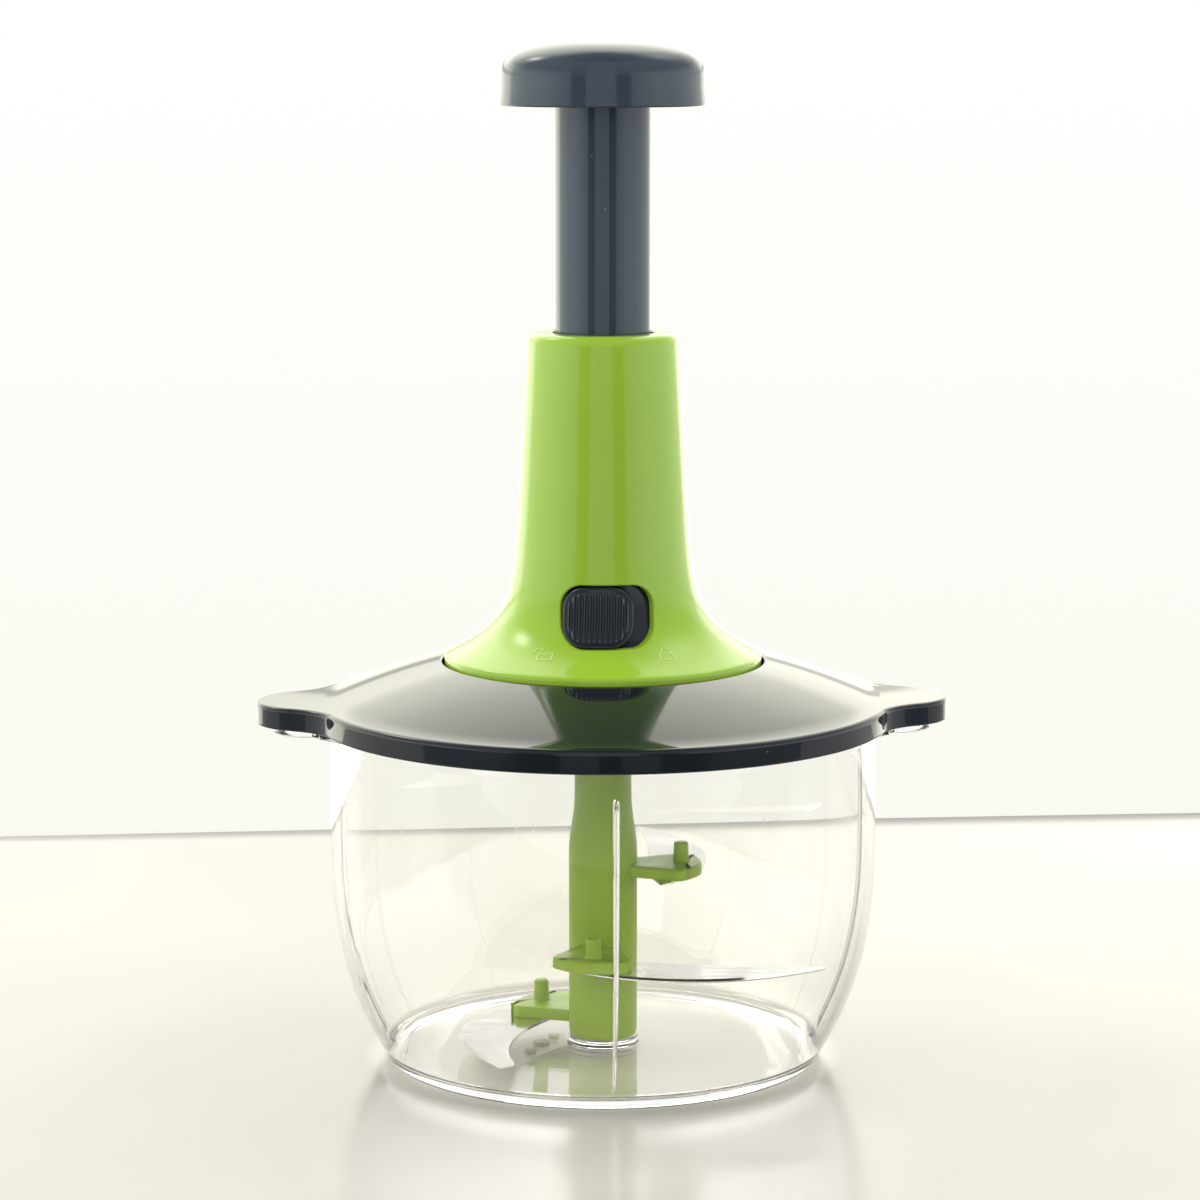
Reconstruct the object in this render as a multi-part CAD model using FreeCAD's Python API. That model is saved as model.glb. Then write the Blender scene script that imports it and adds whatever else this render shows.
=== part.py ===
import FreeCAD, Part

# Plunger food chopper. A clear bowl holds a blade unit that turns on a pin in its floor. The lid
# carries a pump head: pressing the knob drives a nut down a twisted rod, the rod turns the blade
# shaft through a face ratchet, and a spring lifts the knob again. A slider in the front of the
# housing locks the knob down.
#
# Frame: +Z up, origin on the table under the blade axis, +X through one ear, -Y at the front.
# Lengths are in millimetres and angles in degrees.

import math
import os

from FreeCAD import Vector

# ---------------------------------------------------------------- clearances
RUN = 0.08              # radial play of a round part that turns or slides in its bore
SEAT = 0.08             # radial play of a part seated in another of its own group
GAP = 0.3               # air between faces that pass each other

# ---------------------------------------------------------------- bowl
BOWL_HEIGHT = 105.0
BOWL_RADIUS = 81.0      # outside, at the widest level
BOWL_WIDEST_DROP = 38.0 # widest level below the rim
BOWL_BASE_INSET = 17.0  # the wall's foot lies this far inside the widest radius
BOWL_RIM_INSET = 0.8
BOWL_CURVE = 2.6        # exponent of the inward curve below the widest level
BOWL_WALL = 2.5
BOWL_FLOOR = 2.4        # thickness of the floor
FOOT_HEIGHT = 0.8       # the floor stands this far above the table, on a ring
FOOT_WIDTH = 4.0
BOWL_OUTER_CORNER = 2.2
BOWL_INNER_CORNER = 4.0
RIB_COUNT = 4
RIB_DEPTH = 1.4
RIB_TOP_WIDTH = 2.2
RIB_FOOT_WIDTH = 1.0
RIB_TOP_DROP = 12.0     # ribs end this far below the rim
BOSS_HEIGHT = 2.2       # clear boss under the blade shaft
BOSS_RADIUS = 10.4

# ---------------------------------------------------------------- ears of lid and bowl
EAR_LENGTH = 17.5       # from the lid's rim to the ear's tip
EAR_TIP_RADIUS = 17.0
EAR_FILLET = 20.0       # concave blend from ear to rim
BOWL_EAR_INSET = 0.6
BOWL_EAR_THICKNESS = 2.4

# ---------------------------------------------------------------- lid
LID_OVERHANG = 4.8      # lid's rim outside the bowl's rim
LID_WALL = 2.3
RIM_HEIGHT = 6.7
RIM_ROUNDING = 1.2
DOME_FOOT_INSET = 2.5   # the dome starts this far inside the lid's rim
DOME_RISE = 11.7
DOME_BULGE = 0.8
HEAD_HOLE_PLAY = 0.7    # round the foot of the housing
HEAD_HOLE_ROUNDING = 0.6
WELL_FLOOR = 2.5        # thickness of the floor that carries the pump head
WELL_DEPTH = 13.8       # from the edge of the hole down to that floor
WELL_WALL = 2.4
PLUG_CLEARANCE = 1.1    # plug ring to bowl wall
PLUG_THICKNESS = 2.8
PLUG_DEPTH = 5.4
SEAL_HEIGHT = 3.2
SEAL_GROOVE_DEPTH = 1.2
SEAL_RISE = 1.3         # lower edge of the seal above the plug's lower edge

# ---------------------------------------------------------------- blade unit
PIN_RADIUS = 2.5
PIN_HEIGHT = 17.0       # pin above the boss
SHAFT_RADIUS = 10.2
SHAFT_FOOT_RADIUS = 9.85
SHAFT_NECK_RADIUS = 8.5
SHAFT_TOP_RADIUS = 8.3
SHAFT_NECK_LENGTH = 18.5
SHAFT_TAPER_LENGTH = 17.0
SHOULDER_DROP = 1.5     # the shaft's shoulder stands this far below the socket
SHAFT_BORE_RADIUS = 7.6
BUSH_LENGTH = 16.0
HEX_ACROSS_FLATS = 12.0
HEX_LENGTH = 10.5
ARM_ANGLES = (141.0, 260.4, 358.0)
ARM_TOPS = (12.3, 34.2, 57.9)   # levels of the arms' upper faces, lowest arm first
ARM_THICKNESS = 3.4
ARM_REACH = 29.5
ARM_BACK = (24.0, -13.0)     # corners of the fan, along and across the arm
ARM_FRONT = (27.5, 13.0)
ARM_CORNER_ROUNDING = 3.0
ARM_TOP_ROUNDING = 0.8
PEG_RADIUS = 2.35
PEG_HEIGHT = 6.0
PEG_DISTANCE = 23.3
BLADE_THICKNESS = 1.0
BEVEL = 0.6
STAKE_RADIUS = 2.0
STAKE_HEAD_RADIUS = 2.7
SMALL_STAKE_RADIUS = 1.2
SMALL_STAKE_HEAD_RADIUS = 1.8
STAKE_HEAD_HEIGHT = 0.7

# Blade outlines beside their arm: first number outwards along the arm, second across it
LONG_EDGE = [(17.0, -13.5), (29.0, 5.0), (32.0, 22.0), (28.8, 42.0), (21.8, 55.0), (11.5, 67.0)]
LONG_BACK = [(11.5, 67.0), (14.4, 40.0), (13.6, 20.0), (12.4, 4.0)]
LONG_SMALL_STAKES = [(19.5, -6.5), (22.5, 9.0)]
SHORT_EDGE = [(25.0, -13.0), (33.5, 10.0), (31.0, 29.0), (20.0, 41.8), (-4.0, 55.3)]
SHORT_BACK = [(-5.5, 50.5), (7.2, 36.0), (15.0, 15.0), (15.5, -4.0)]
SHORT_SMALL_STAKES = [(25.0, -8.5), (20.5, 9.0)]

# ---------------------------------------------------------------- pump head
PLATE_THICKNESS = 3.0
PLATE_CLEARANCE = 0.7
BEARING_WALL = 3.6
BEARING_DROP = 7.5      # bearing tube below the plate
SOCKET_RADIUS = 11.6
SOCKET_FLANGE_RADIUS = 16.0
SOCKET_FLANGE = 2.4
HEX_PLAY = 0.3          # each flat of the socket to the shaft's hexagon
TOOTH_COUNT = 12
TOOTH_HEIGHT = 1.5
TOOTH_INNER_RADIUS = 9.0
DRIVER_THICKNESS = 2.6
DRIVER_BOSS_RADIUS = 6.8
DRIVER_BOSS_HEIGHT = 4.6
CROSS_PIN_RADIUS = 1.0
COVER_WALL = 2.4
COVER_FLANGE_RADIUS = 27.0
COVER_FLANGE = 2.4
COVER_SCREW_CIRCLE_RADIUS = 23.2
SPIGOT_RADIUS = 8.1
SPIGOT_HEIGHT = 4.0

ROD_WIDTH = 9.0
ROD_THICKNESS = 2.2
ROD_LEAD = 32.0         # axial travel for one turn
ROD_STEP = 22.5         # turn from one section of the rod to the next
ROD_PLAY = 0.3          # each face of the rod to the slot in the nut
TRAVEL = 64.0           # stroke of the knob

SPRING_RADIUS = 9.3     # mean radius of the coils
SPRING_WIRE = 0.6       # radius of the wire
SPRING_SIDES = 8
SPRING_COILS = 11

# ---------------------------------------------------------------- housing
HOUSING_HEIGHT = 107.5  # above the plate it stands on
HOUSING_TOP_RADIUS = 22.0
HOUSING_EDGE_RADIUS = 46.9
HOUSING_EDGE_RISE = 12.3     # the flare meets the upright foot this far above the plate
HOUSING_TAPER = 0.0553  # growth of the radius for each millimetre downwards
FLARE_LENGTH = 8.3
FLARE_POWER = 1.12
HOUSING_WALL = 2.3
CROWN_RISE = 2.6        # the top edge falls this far to the side
COLLAR_THICKNESS = 2.7
COLLAR_PLAY = 0.85      # tube to the hole in the top
RAIL_WIDTH = 3.0
RAIL_INNER_RADIUS = 16.2
SCREW_CIRCLE_RADIUS = 36.0
SCREW_ANGLES = (90.0, 210.0, 330.0)
SCREW_BOSS_RADIUS = 3.8
SCREW_RADIUS = 1.5
SCREW_HEAD_RADIUS = 2.9
SCREW_HEAD_HEIGHT = 2.0
SCREW_LENGTH = 14.0
SMALL_SCREW_RADIUS = 1.0
SMALL_SCREW_HEAD_RADIUS = 1.9
SMALL_SCREW_HEAD_HEIGHT = 1.3

# ---------------------------------------------------------------- lock slider and its window
WINDOW_RISE = 15.4      # middle of the window above the housing's edge
WINDOW_WIDTH = 27.0
WINDOW_HEIGHT = 17.2
WINDOW_CORNER = 6.3
GRIP_WIDTH = 20.4
GRIP_HEIGHT = 16.2
GRIP_CORNER = 6.0
GRIP_PROUD = 1.5
GRIP_MARGIN = 1.7       # plain border round the ribbed field
GRIP_GROOVES = 13
GRIP_GROOVE_WIDTH = 0.6
GRIP_GROOVE_DEPTH = 0.8
LOCK_TURN = 11.0        # from unlocked to locked
SLIDER_PLATE = 1.6
SLIDER_HALF_ANGLE = 36.0
SLIDER_BELOW = 1.2      # the plate reaches this far past the window's lower edge
SLIDER_ABOVE = 1.8
CHANNEL_RIB = 1.6       # thickness of the channel's ledge over the plate
CHANNEL_LIP = 1.4
CHANNEL_HOOK = 3.0      # overlap of the lip on the plate
CHANNEL_MARGIN = 2.0    # degrees past each end of the plate's path
FINGER_WIDTH = 3.6
FINGER_HEIGHT = 2.8
FINGER_REACH = 2.6      # overlap of the finger on the locked flange
FINGER_SEAT = 2.0       # the finger leaves the plate at least this far inside its edges
FINGER_STEM = 4.0       # joins finger and plate where their levels part

# ---------------------------------------------------------------- plunger
TUBE_RADIUS = 14.15
TUBE_WALL = 2.2
FLANGE_RADIUS = 17.4
FLANGE_HEIGHT = 3.5
FLANGE_DROP = 28.0      # foot of the flange below the housing's top, at rest
WEB_RISE = 34.0         # web above the foot of the flange
WEB_THICKNESS = 3.0
NUT_HEIGHT = 8.0
NUT_SCREW_CIRCLE_RADIUS = 8.8
NUT_SCREW_ANGLES = (90.0, 270.0)
ROD_TOP_ABOVE_WEB = 1.0
KNOB_RADIUS = 30.4
KNOB_CLEARANCE = 1.4    # left over the housing with the knob pressed down
KNOB_HEIGHT = 19.6
KNOB_SKIRT_RADIUS = 29.5
KNOB_SHOULDER_RISE = 10.9
KNOB_SHOULDER = [(1.2, 6.5), (3.6, 4.2), (8.6, 1.9), (16.5, 0.45)]    # inset and drop from the crown
KNOB_WALL = 2.4
KNOB_HUB_WALL = 2.6
KNOB_HUB_RISE = 2.0     # lower end of the hub above the knob's lower edge
KNOB_RIBS = 6
KNOB_RIB_THICKNESS = 1.8
KNOB_CEILING_FALL = 1.0 # fall of the knob's ceiling from the axis to the tube

# ---------------------------------------------------------------- levels that follow
BOWL_WIDEST_Z = BOWL_HEIGHT - BOWL_WIDEST_DROP
BOWL_BASE_RADIUS = BOWL_RADIUS - BOWL_BASE_INSET
BOWL_RIM_RADIUS = BOWL_RADIUS - BOWL_RIM_INSET
LID_RADIUS = BOWL_RIM_RADIUS + LID_OVERHANG
EAR_TIP = LID_RADIUS + EAR_LENGTH
DOME_FOOT_RADIUS = LID_RADIUS - DOME_FOOT_INSET
HEAD_HOLE_RADIUS = HOUSING_EDGE_RADIUS + HEAD_HOLE_PLAY
LID_UNDERSIDE = BOWL_HEIGHT + GAP
RIM_TOP = LID_UNDERSIDE + LID_WALL
RIM_BOTTOM = RIM_TOP - RIM_HEIGHT
DOME_TOP = RIM_TOP + DOME_RISE
WELL_TOP = DOME_TOP - WELL_DEPTH
WELL_BOTTOM = WELL_TOP - WELL_FLOOR
PLATE_TOP = WELL_TOP + PLATE_THICKNESS
FLOOR_Z = FOOT_HEIGHT + BOWL_FLOOR
BOSS_Z = FLOOR_Z + BOSS_HEIGHT
SOCKET_BOTTOM = WELL_TOP - BEARING_DROP
SOCKET_TOP = PLATE_TOP + GAP + SOCKET_FLANGE
SHAFT_SHOULDER_Z = SOCKET_BOTTOM - SHOULDER_DROP
SHAFT_TAPER_END = SHAFT_SHOULDER_Z - SHAFT_NECK_LENGTH
SHAFT_TAPER_START = SHAFT_TAPER_END - SHAFT_TAPER_LENGTH
DRIVER_BOTTOM = SOCKET_TOP + GAP + TOOTH_HEIGHT
DRIVER_TOP = DRIVER_BOTTOM + DRIVER_THICKNESS
DRIVER_BOSS_TOP = DRIVER_TOP + DRIVER_BOSS_HEIGHT
COVER_TOP = DRIVER_BOSS_TOP + GAP + COVER_WALL
HOUSING_TOP = PLATE_TOP + HOUSING_HEIGHT
HOUSING_EDGE_Z = PLATE_TOP + HOUSING_EDGE_RISE
WINDOW_Z = HOUSING_EDGE_Z + WINDOW_RISE
FLANGE_REST_Z = HOUSING_TOP - FLANGE_DROP
WEB_Z = FLANGE_REST_Z + WEB_RISE
KNOB_BOTTOM = HOUSING_TOP + TRAVEL + KNOB_CLEARANCE
KNOB_SHOULDER_Z = KNOB_BOTTOM + KNOB_SHOULDER_RISE
KNOB_TOP = KNOB_BOTTOM + KNOB_HEIGHT
ROD_BOTTOM = DRIVER_BOTTOM + 0.6
ROD_TOP = WEB_Z + WEB_THICKNESS + ROD_TOP_ABOVE_WEB
ROD_RADIUS = math.hypot(ROD_WIDTH, ROD_THICKNESS) / 2
NUT_BOTTOM = WEB_Z - NUT_HEIGHT
TUBE_BORE = TUBE_RADIUS - TUBE_WALL
TUBE_TOP = KNOB_TOP - KNOB_WALL - KNOB_CEILING_FALL - GAP
BUSH_BOTTOM = FLANGE_REST_Z + FLANGE_HEIGHT + GAP
COLLAR_Z = HOUSING_TOP - COLLAR_THICKNESS
POCKET_RADIUS = HOUSING_TOP_RADIUS - HOUSING_WALL
LOCKED_FLANGE_TOP = FLANGE_REST_Z + FLANGE_HEIGHT - TRAVEL
FINGER_Z = LOCKED_FLANGE_TOP + GAP
FRONT = -90.0           # direction of the front
Z_AXIS = Vector(0, 0, 1)
ORIGIN = Vector(0, 0, 0)


# ---------------------------------------------------------------- shape helpers
def section(start, *moves):
    """Closed face in the radius-height plane. A point draws a line, a pair of points an arc
    through the first, and a longer list a smooth curve, which is level where it ends on the
    axis."""
    def place(p):
        return Vector(p[0], 0, p[1])

    edges = []
    here = place(start)
    for move in moves + (start,):
        points = [place(move)] if isinstance(move, tuple) else [place(p) for p in move]
        if (points[-1] - here).Length < 1e-6:
            continue
        if len(points) == 1:
            edges.append(Part.makeLine(here, points[0]))
        elif len(points) == 2:
            edges.append(Part.Arc(here, points[0], points[1]).toShape())
        else:
            curve = Part.BSplineCurve()
            on_axis = points[-1].x < 1e-6
            tangents = [Vector(0, 0, 1)] * len(points) + [Vector(-1, 0, 0)]
            flags = [False] * len(points) + [on_axis]
            curve.interpolate(Points=[here] + points, Tangents=tangents, TangentFlags=flags)
            edges.append(curve.toShape())
        here = points[-1]
    return Part.Face(Part.Wire(edges))


def turned(start, *moves):
    """Solid of revolution about Z from a section in the radius-height plane."""
    return section(start, *moves).revolve(ORIGIN, Z_AXIS, 360)


def turned_part(angle_from, angle_to, start, *moves):
    """The same over a part of the circle."""
    face = section(start, *moves)
    face.rotate(ORIGIN, Z_AXIS, angle_from)
    return face.revolve(ORIGIN, Z_AXIS, angle_to - angle_from)


def cylinder(radius, low, high, x=0.0, y=0.0):
    return Part.makeCylinder(radius, high - low, Vector(x, y, low))


def ring(outer, inner, low, high):
    return cylinder(outer, low, high).cut(cylinder(inner, low, high))


def prism(face_wire, low, high):
    """Closed flat wire at height zero, raised from one level to another."""
    wire = face_wire.copy()
    wire.translate(Vector(0, 0, low))
    return Part.Face(wire).extrude(Vector(0, 0, high - low))


def block(x_from, x_to, width, low, high, angle=0.0):
    """Box along a radius: from one distance to another, centred across it."""
    box = Part.makeBox(x_to - x_from, width, high - low, Vector(x_from, -width / 2, low))
    box.rotate(ORIGIN, Z_AXIS, angle)
    return box


def polar(radius, angle, z=0.0):
    a = math.radians(angle)
    return Vector(radius * math.cos(a), radius * math.sin(a), z)


def evenly(count, first=0.0):
    return [first + 360.0 * k / count for k in range(count)]


def union(shapes):
    solid = shapes[0].multiFuse(shapes[1:]) if len(shapes) > 1 else shapes[0]
    return solid.removeSplitter()


def rounded(solid, radius, chosen):
    """Fillet of the edges that the test picks."""
    return solid.makeFillet(radius, [e for e in solid.Edges if chosen(e)])


def level_edge(edge, z):
    return abs(edge.BoundBox.ZMin - z) < 1e-4 and abs(edge.BoundBox.ZMax - z) < 1e-4


def upright_edge(edge, low, high):
    flat = max(edge.BoundBox.XLength, edge.BoundBox.YLength) < 1e-4
    return flat and abs(edge.BoundBox.ZMin - low) < 1e-4 and abs(edge.BoundBox.ZMax - high) < 1e-4


def smooth_range(low, high, count):
    return [low + (high - low) * k / (count - 1) for k in range(count)]


def eared_outline(body_radius, tip, tip_radius, fillet):
    """Circle with an ear at +X and -X: each ear is a tip arc joined to the circle by two
    concave arcs tangent to both."""
    centre = tip - tip_radius
    to_body = body_radius + fillet
    to_tip = tip_radius + fillet
    x = (to_body ** 2 + centre ** 2 - to_tip ** 2) / (2 * centre)
    y = math.sqrt(to_body ** 2 - x ** 2)
    root = Vector(x, y, 0) * (body_radius / to_body)
    joint = Vector(centre, 0, 0) + (Vector(x, y, 0) - Vector(centre, 0, 0)) * (tip_radius / to_tip)
    nearest = Vector(x, y, 0) + (Vector(centre, 0, 0) - Vector(x, y, 0)
                                 + ORIGIN - Vector(x, y, 0)).normalize() * fillet

    def mirrored(p, sx, sy):
        return Vector(sx * p.x, sy * p.y, 0)

    edges = []
    for sx in (1, -1):
        tip_point = Vector(sx * tip, 0, 0)
        edges.append(Part.Arc(mirrored(joint, sx, -1), tip_point, mirrored(joint, sx, 1)).toShape())
        for sy in (1, -1):
            edges.append(Part.Arc(mirrored(root, sx, sy), mirrored(nearest, sx, sy),
                                  mirrored(joint, sx, sy)).toShape())
    for sy in (1, -1):
        edges.append(Part.Arc(mirrored(root, 1, sy), Vector(0, sy * body_radius, 0),
                              mirrored(root, -1, sy)).toShape())
    return Part.Wire(Part.__sortEdges__(edges))


def twisted_bar(width, thickness, low, high):
    """Flat bar whose section turns with height, one turn for each lead of the rod. It winds
    to the left, so a nut driven down it turns it clockwise seen from above."""
    steps = max(1, round(abs(high - low) / ROD_LEAD * 360 / ROD_STEP))
    sections = []
    for z in smooth_range(low, high, steps + 1):
        corners = [Vector(sx * width / 2, sy * thickness / 2, z)
                   for sx, sy in ((-1, -1), (1, -1), (1, 1), (-1, 1))]
        wire = Part.makePolygon(corners + corners[:1])
        wire.rotate(ORIGIN, Z_AXIS, -360 * (z - ROD_BOTTOM) / ROD_LEAD)
        sections.append(wire)
    return Part.makeLoft(sections, True, True)


def screw(radius, head_radius, head_height, length, x, y, head_z, upwards):
    """Screw with a flat head below (shank upwards) or above (shank downwards) a face."""
    side = 1 if upwards else -1
    head = sorted((head_z, head_z - side * head_height))
    shank = sorted((head_z, head_z + side * length))
    return cylinder(head_radius, head[0], head[1], x, y).fuse(
        cylinder(radius, shank[0], shank[1], x, y)).removeSplitter()


# ---------------------------------------------------------------- bowl
def bowl_radius(z):
    """Outside radius of the bowl: a power curve up to the widest level, then slightly in."""
    if z < BOWL_WIDEST_Z:
        below = (BOWL_WIDEST_Z - z) / BOWL_WIDEST_Z
        return BOWL_RADIUS - (BOWL_RADIUS - BOWL_BASE_RADIUS) * below ** BOWL_CURVE
    above = (z - BOWL_WIDEST_Z) / (BOWL_HEIGHT - BOWL_WIDEST_Z)
    return BOWL_RADIUS - (BOWL_RADIUS - BOWL_RIM_RADIUS) * above ** 2


def wall_curve(low, high, inset):
    """Points up the bowl's wall, moved in from its outside."""
    return [(bowl_radius(z) - inset, z) for z in smooth_range(low, high, 9)]


def bowl():
    outer = wall_curve(BOWL_OUTER_CORNER, BOWL_HEIGHT, 0.0)
    inner = wall_curve(FLOOR_Z + BOWL_INNER_CORNER, BOWL_HEIGHT, BOWL_WALL)
    inner.reverse()
    bend = math.sin(math.radians(45))
    foot_outer = outer[0][0] - BOWL_OUTER_CORNER
    foot_inner = foot_outer - FOOT_WIDTH
    floor_edge = inner[-1][0] - BOWL_INNER_CORNER
    shell = turned(
        (0, FOOT_HEIGHT), (foot_inner, FOOT_HEIGHT), (foot_inner, 0), (foot_outer, 0),
        [(foot_outer + BOWL_OUTER_CORNER * bend, BOWL_OUTER_CORNER * (1 - bend)), outer[0]],
        outer[1:], inner[0], inner[1:],
        [(floor_edge + BOWL_INNER_CORNER * bend, FLOOR_Z + BOWL_INNER_CORNER * (1 - bend)),
         (floor_edge, FLOOR_Z)],
        (BOSS_RADIUS, FLOOR_Z), (BOSS_RADIUS, BOSS_Z), (PIN_RADIUS + SEAT, BOSS_Z),
        (PIN_RADIUS + SEAT, FLOOR_Z), (0, FLOOR_Z))
    return union([shell, bowl_ears()] + bowl_ribs())


def bowl_ears():
    top = RIM_BOTTOM - GAP
    outline = eared_outline(BOWL_RIM_RADIUS, EAR_TIP - BOWL_EAR_INSET,
                            EAR_TIP_RADIUS - BOWL_EAR_INSET, EAR_FILLET)
    plate = prism(outline, top - BOWL_EAR_THICKNESS, top)
    return plate.cut(cylinder(BOWL_RIM_RADIUS - BOWL_WALL / 2, top - BOWL_EAR_THICKNESS, top))


def bowl_ribs():
    """Upright ribs on the inside of the wall, narrower towards the floor."""
    top = BOWL_HEIGHT - RIB_TOP_DROP
    outside = wall_curve(FLOOR_Z, top, BOWL_WALL / 2)
    inside = wall_curve(FLOOR_Z, top, BOWL_WALL + RIB_DEPTH)
    inside.reverse()
    band = turned(outside[0], outside[1:], inside[0], inside[1:])
    half_top = RIB_TOP_WIDTH / 2
    half_foot = RIB_FOOT_WIDTH / 2
    wedge_wire = Part.makePolygon([
        Vector(0, -half_foot, FLOOR_Z), Vector(0, half_foot, FLOOR_Z),
        Vector(0, half_top, top), Vector(0, -half_top, top), Vector(0, -half_foot, FLOOR_Z)])
    wedge = Part.Face(wedge_wire).extrude(Vector(BOWL_RADIUS, 0, 0))
    ribs = []
    for angle in evenly(RIB_COUNT):
        rib = wedge.copy()
        rib.rotate(ORIGIN, Z_AXIS, angle)
        ribs.append(band.common(rib))
    return ribs


def pivot_pin():
    """Steel pin in the boss, with a rounded upper end."""
    top = BOSS_Z + PIN_HEIGHT
    bend = math.sin(math.radians(45))
    return turned((0, FLOOR_Z), (PIN_RADIUS, FLOOR_Z), (PIN_RADIUS, top - PIN_RADIUS),
                  [(PIN_RADIUS * bend, top - PIN_RADIUS * (1 - bend)), (0, top)])


# ---------------------------------------------------------------- blade unit
def shaft_bottom():
    return BOSS_Z + GAP


def small_stakes(level):
    return SHORT_SMALL_STAKES if level == 0 else LONG_SMALL_STAKES


def blade_arm(level):
    """Fan-shaped arm with an upright peg above and heat-formed stakes through the blade."""
    top = ARM_TOPS[level]
    low = top - ARM_THICKNESS
    root = SHAFT_RADIUS * 0.5
    wire = Part.Wire([
        Part.makeLine(Vector(root, -root, 0), Vector(*ARM_BACK, 0)),
        Part.Arc(Vector(*ARM_BACK, 0), Vector(ARM_REACH, 0, 0), Vector(*ARM_FRONT, 0)).toShape(),
        Part.makeLine(Vector(*ARM_FRONT, 0), Vector(root, root, 0)),
        Part.makeLine(Vector(root, root, 0), Vector(root, -root, 0))])
    plate = prism(wire, low, top)
    plate = rounded(plate, ARM_CORNER_ROUNDING,
                    lambda e: upright_edge(e, low, top) and e.BoundBox.XMin > SHAFT_RADIUS)
    plate = rounded(plate, ARM_TOP_ROUNDING,
                    lambda e: level_edge(e, top) and e.BoundBox.XMax > SHAFT_RADIUS)
    peg = cylinder(PEG_RADIUS, low, top + PEG_HEIGHT, PEG_DISTANCE)
    peg = rounded(peg, ARM_TOP_ROUNDING / 2, lambda e: level_edge(e, top + PEG_HEIGHT))
    stakes = [stake(PEG_DISTANCE, 0, STAKE_RADIUS, STAKE_HEAD_RADIUS, low)]
    stakes += [stake(u, v, SMALL_STAKE_RADIUS, SMALL_STAKE_HEAD_RADIUS, low)
               for u, v in small_stakes(level)]
    arm = union([plate, peg] + stakes)
    arm.rotate(ORIGIN, Z_AXIS, ARM_ANGLES[level])
    return arm


def stake(u, v, radius, head_radius, arm_underside):
    below = arm_underside - BLADE_THICKNESS
    shank = cylinder(radius, below - STAKE_HEAD_HEIGHT, arm_underside + 1, u, v)
    return shank.fuse(cylinder(head_radius, below - STAKE_HEAD_HEIGHT, below, u, v))


def hexagon(across_flats):
    radius = across_flats / math.sqrt(3)
    corners = [polar(radius, angle) for angle in evenly(6)]
    return Part.makePolygon(corners + corners[:1])


def blade_shaft():
    bottom = shaft_bottom()
    waist = (SHAFT_TAPER_START + SHAFT_TAPER_END) / 2
    mean = (SHAFT_RADIUS + SHAFT_NECK_RADIUS) / 2
    post = turned(
        (SHAFT_BORE_RADIUS, bottom), (SHAFT_FOOT_RADIUS, bottom), (SHAFT_RADIUS, bottom + 1.5),
        (SHAFT_RADIUS, SHAFT_TAPER_START),
        [(SHAFT_RADIUS - 0.2, SHAFT_TAPER_START + 2.5), (mean, waist),
         (SHAFT_NECK_RADIUS + 0.2, SHAFT_TAPER_END - 2.5), (SHAFT_NECK_RADIUS, SHAFT_TAPER_END)],
        (SHAFT_TOP_RADIUS, SHAFT_SHOULDER_Z), (0, SHAFT_SHOULDER_Z),
        (0, SHAFT_SHOULDER_Z - 4), (SHAFT_BORE_RADIUS - 1.8, SHAFT_SHOULDER_Z - 4),
        (SHAFT_BORE_RADIUS - 1.8, SHAFT_TAPER_START), (SHAFT_BORE_RADIUS, SHAFT_TAPER_START - 3))
    key = prism(hexagon(HEX_ACROSS_FLATS), SHAFT_SHOULDER_Z - 1, SHAFT_SHOULDER_Z + HEX_LENGTH)
    arms = union([blade_arm(level) for level in range(len(ARM_TOPS))])
    arms = arms.cut(cylinder((SHAFT_RADIUS + SHAFT_BORE_RADIUS) / 2, bottom, SHAFT_TAPER_START))
    return union([post, key, arms])


def foot_bush():
    """Nylon bush that turns on the pin."""
    bottom = shaft_bottom()
    return ring(SHAFT_BORE_RADIUS - SEAT, PIN_RADIUS + RUN, bottom, bottom + BUSH_LENGTH)


def blade(level):
    """Steel blade under its arm, bevelled along the cutting edge, with holes for the stakes."""
    edge, back = (SHORT_EDGE, SHORT_BACK) if level == 0 else (LONG_EDGE, LONG_BACK)
    top = ARM_TOPS[level] - ARM_THICKNESS
    low = top - BLADE_THICKNESS

    def spline(points):
        curve = Part.BSplineCurve()
        curve.interpolate([Vector(u, v, 0) for u, v in points])
        return curve.toShape()

    edges = [spline(edge)]
    if edge[-1] != back[0]:
        edges.append(Part.makeLine(Vector(*edge[-1], 0), Vector(*back[0], 0)))
    edges.append(spline(back))
    edges.append(Part.makeLine(Vector(*back[-1], 0), Vector(*edge[0], 0)))
    plate = prism(Part.Wire(edges), low, top)
    length = edges[0].Length
    sharp = [e for e in plate.Edges if level_edge(e, top) and abs(e.Length - length) < 1e-3]
    plate = plate.makeChamfer(BEVEL, sharp)
    holes = [cylinder(STAKE_RADIUS + SEAT, low, top, PEG_DISTANCE, 0)]
    holes += [cylinder(SMALL_STAKE_RADIUS + SEAT, low, top, u, v) for u, v in small_stakes(level)]
    for hole in holes:
        plate = plate.cut(hole)
    plate.rotate(ORIGIN, Z_AXIS, ARM_ANGLES[level])
    return plate


# ---------------------------------------------------------------- lid
def plug_radius():
    return bowl_radius(BOWL_HEIGHT) - BOWL_WALL - PLUG_CLEARANCE


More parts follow.
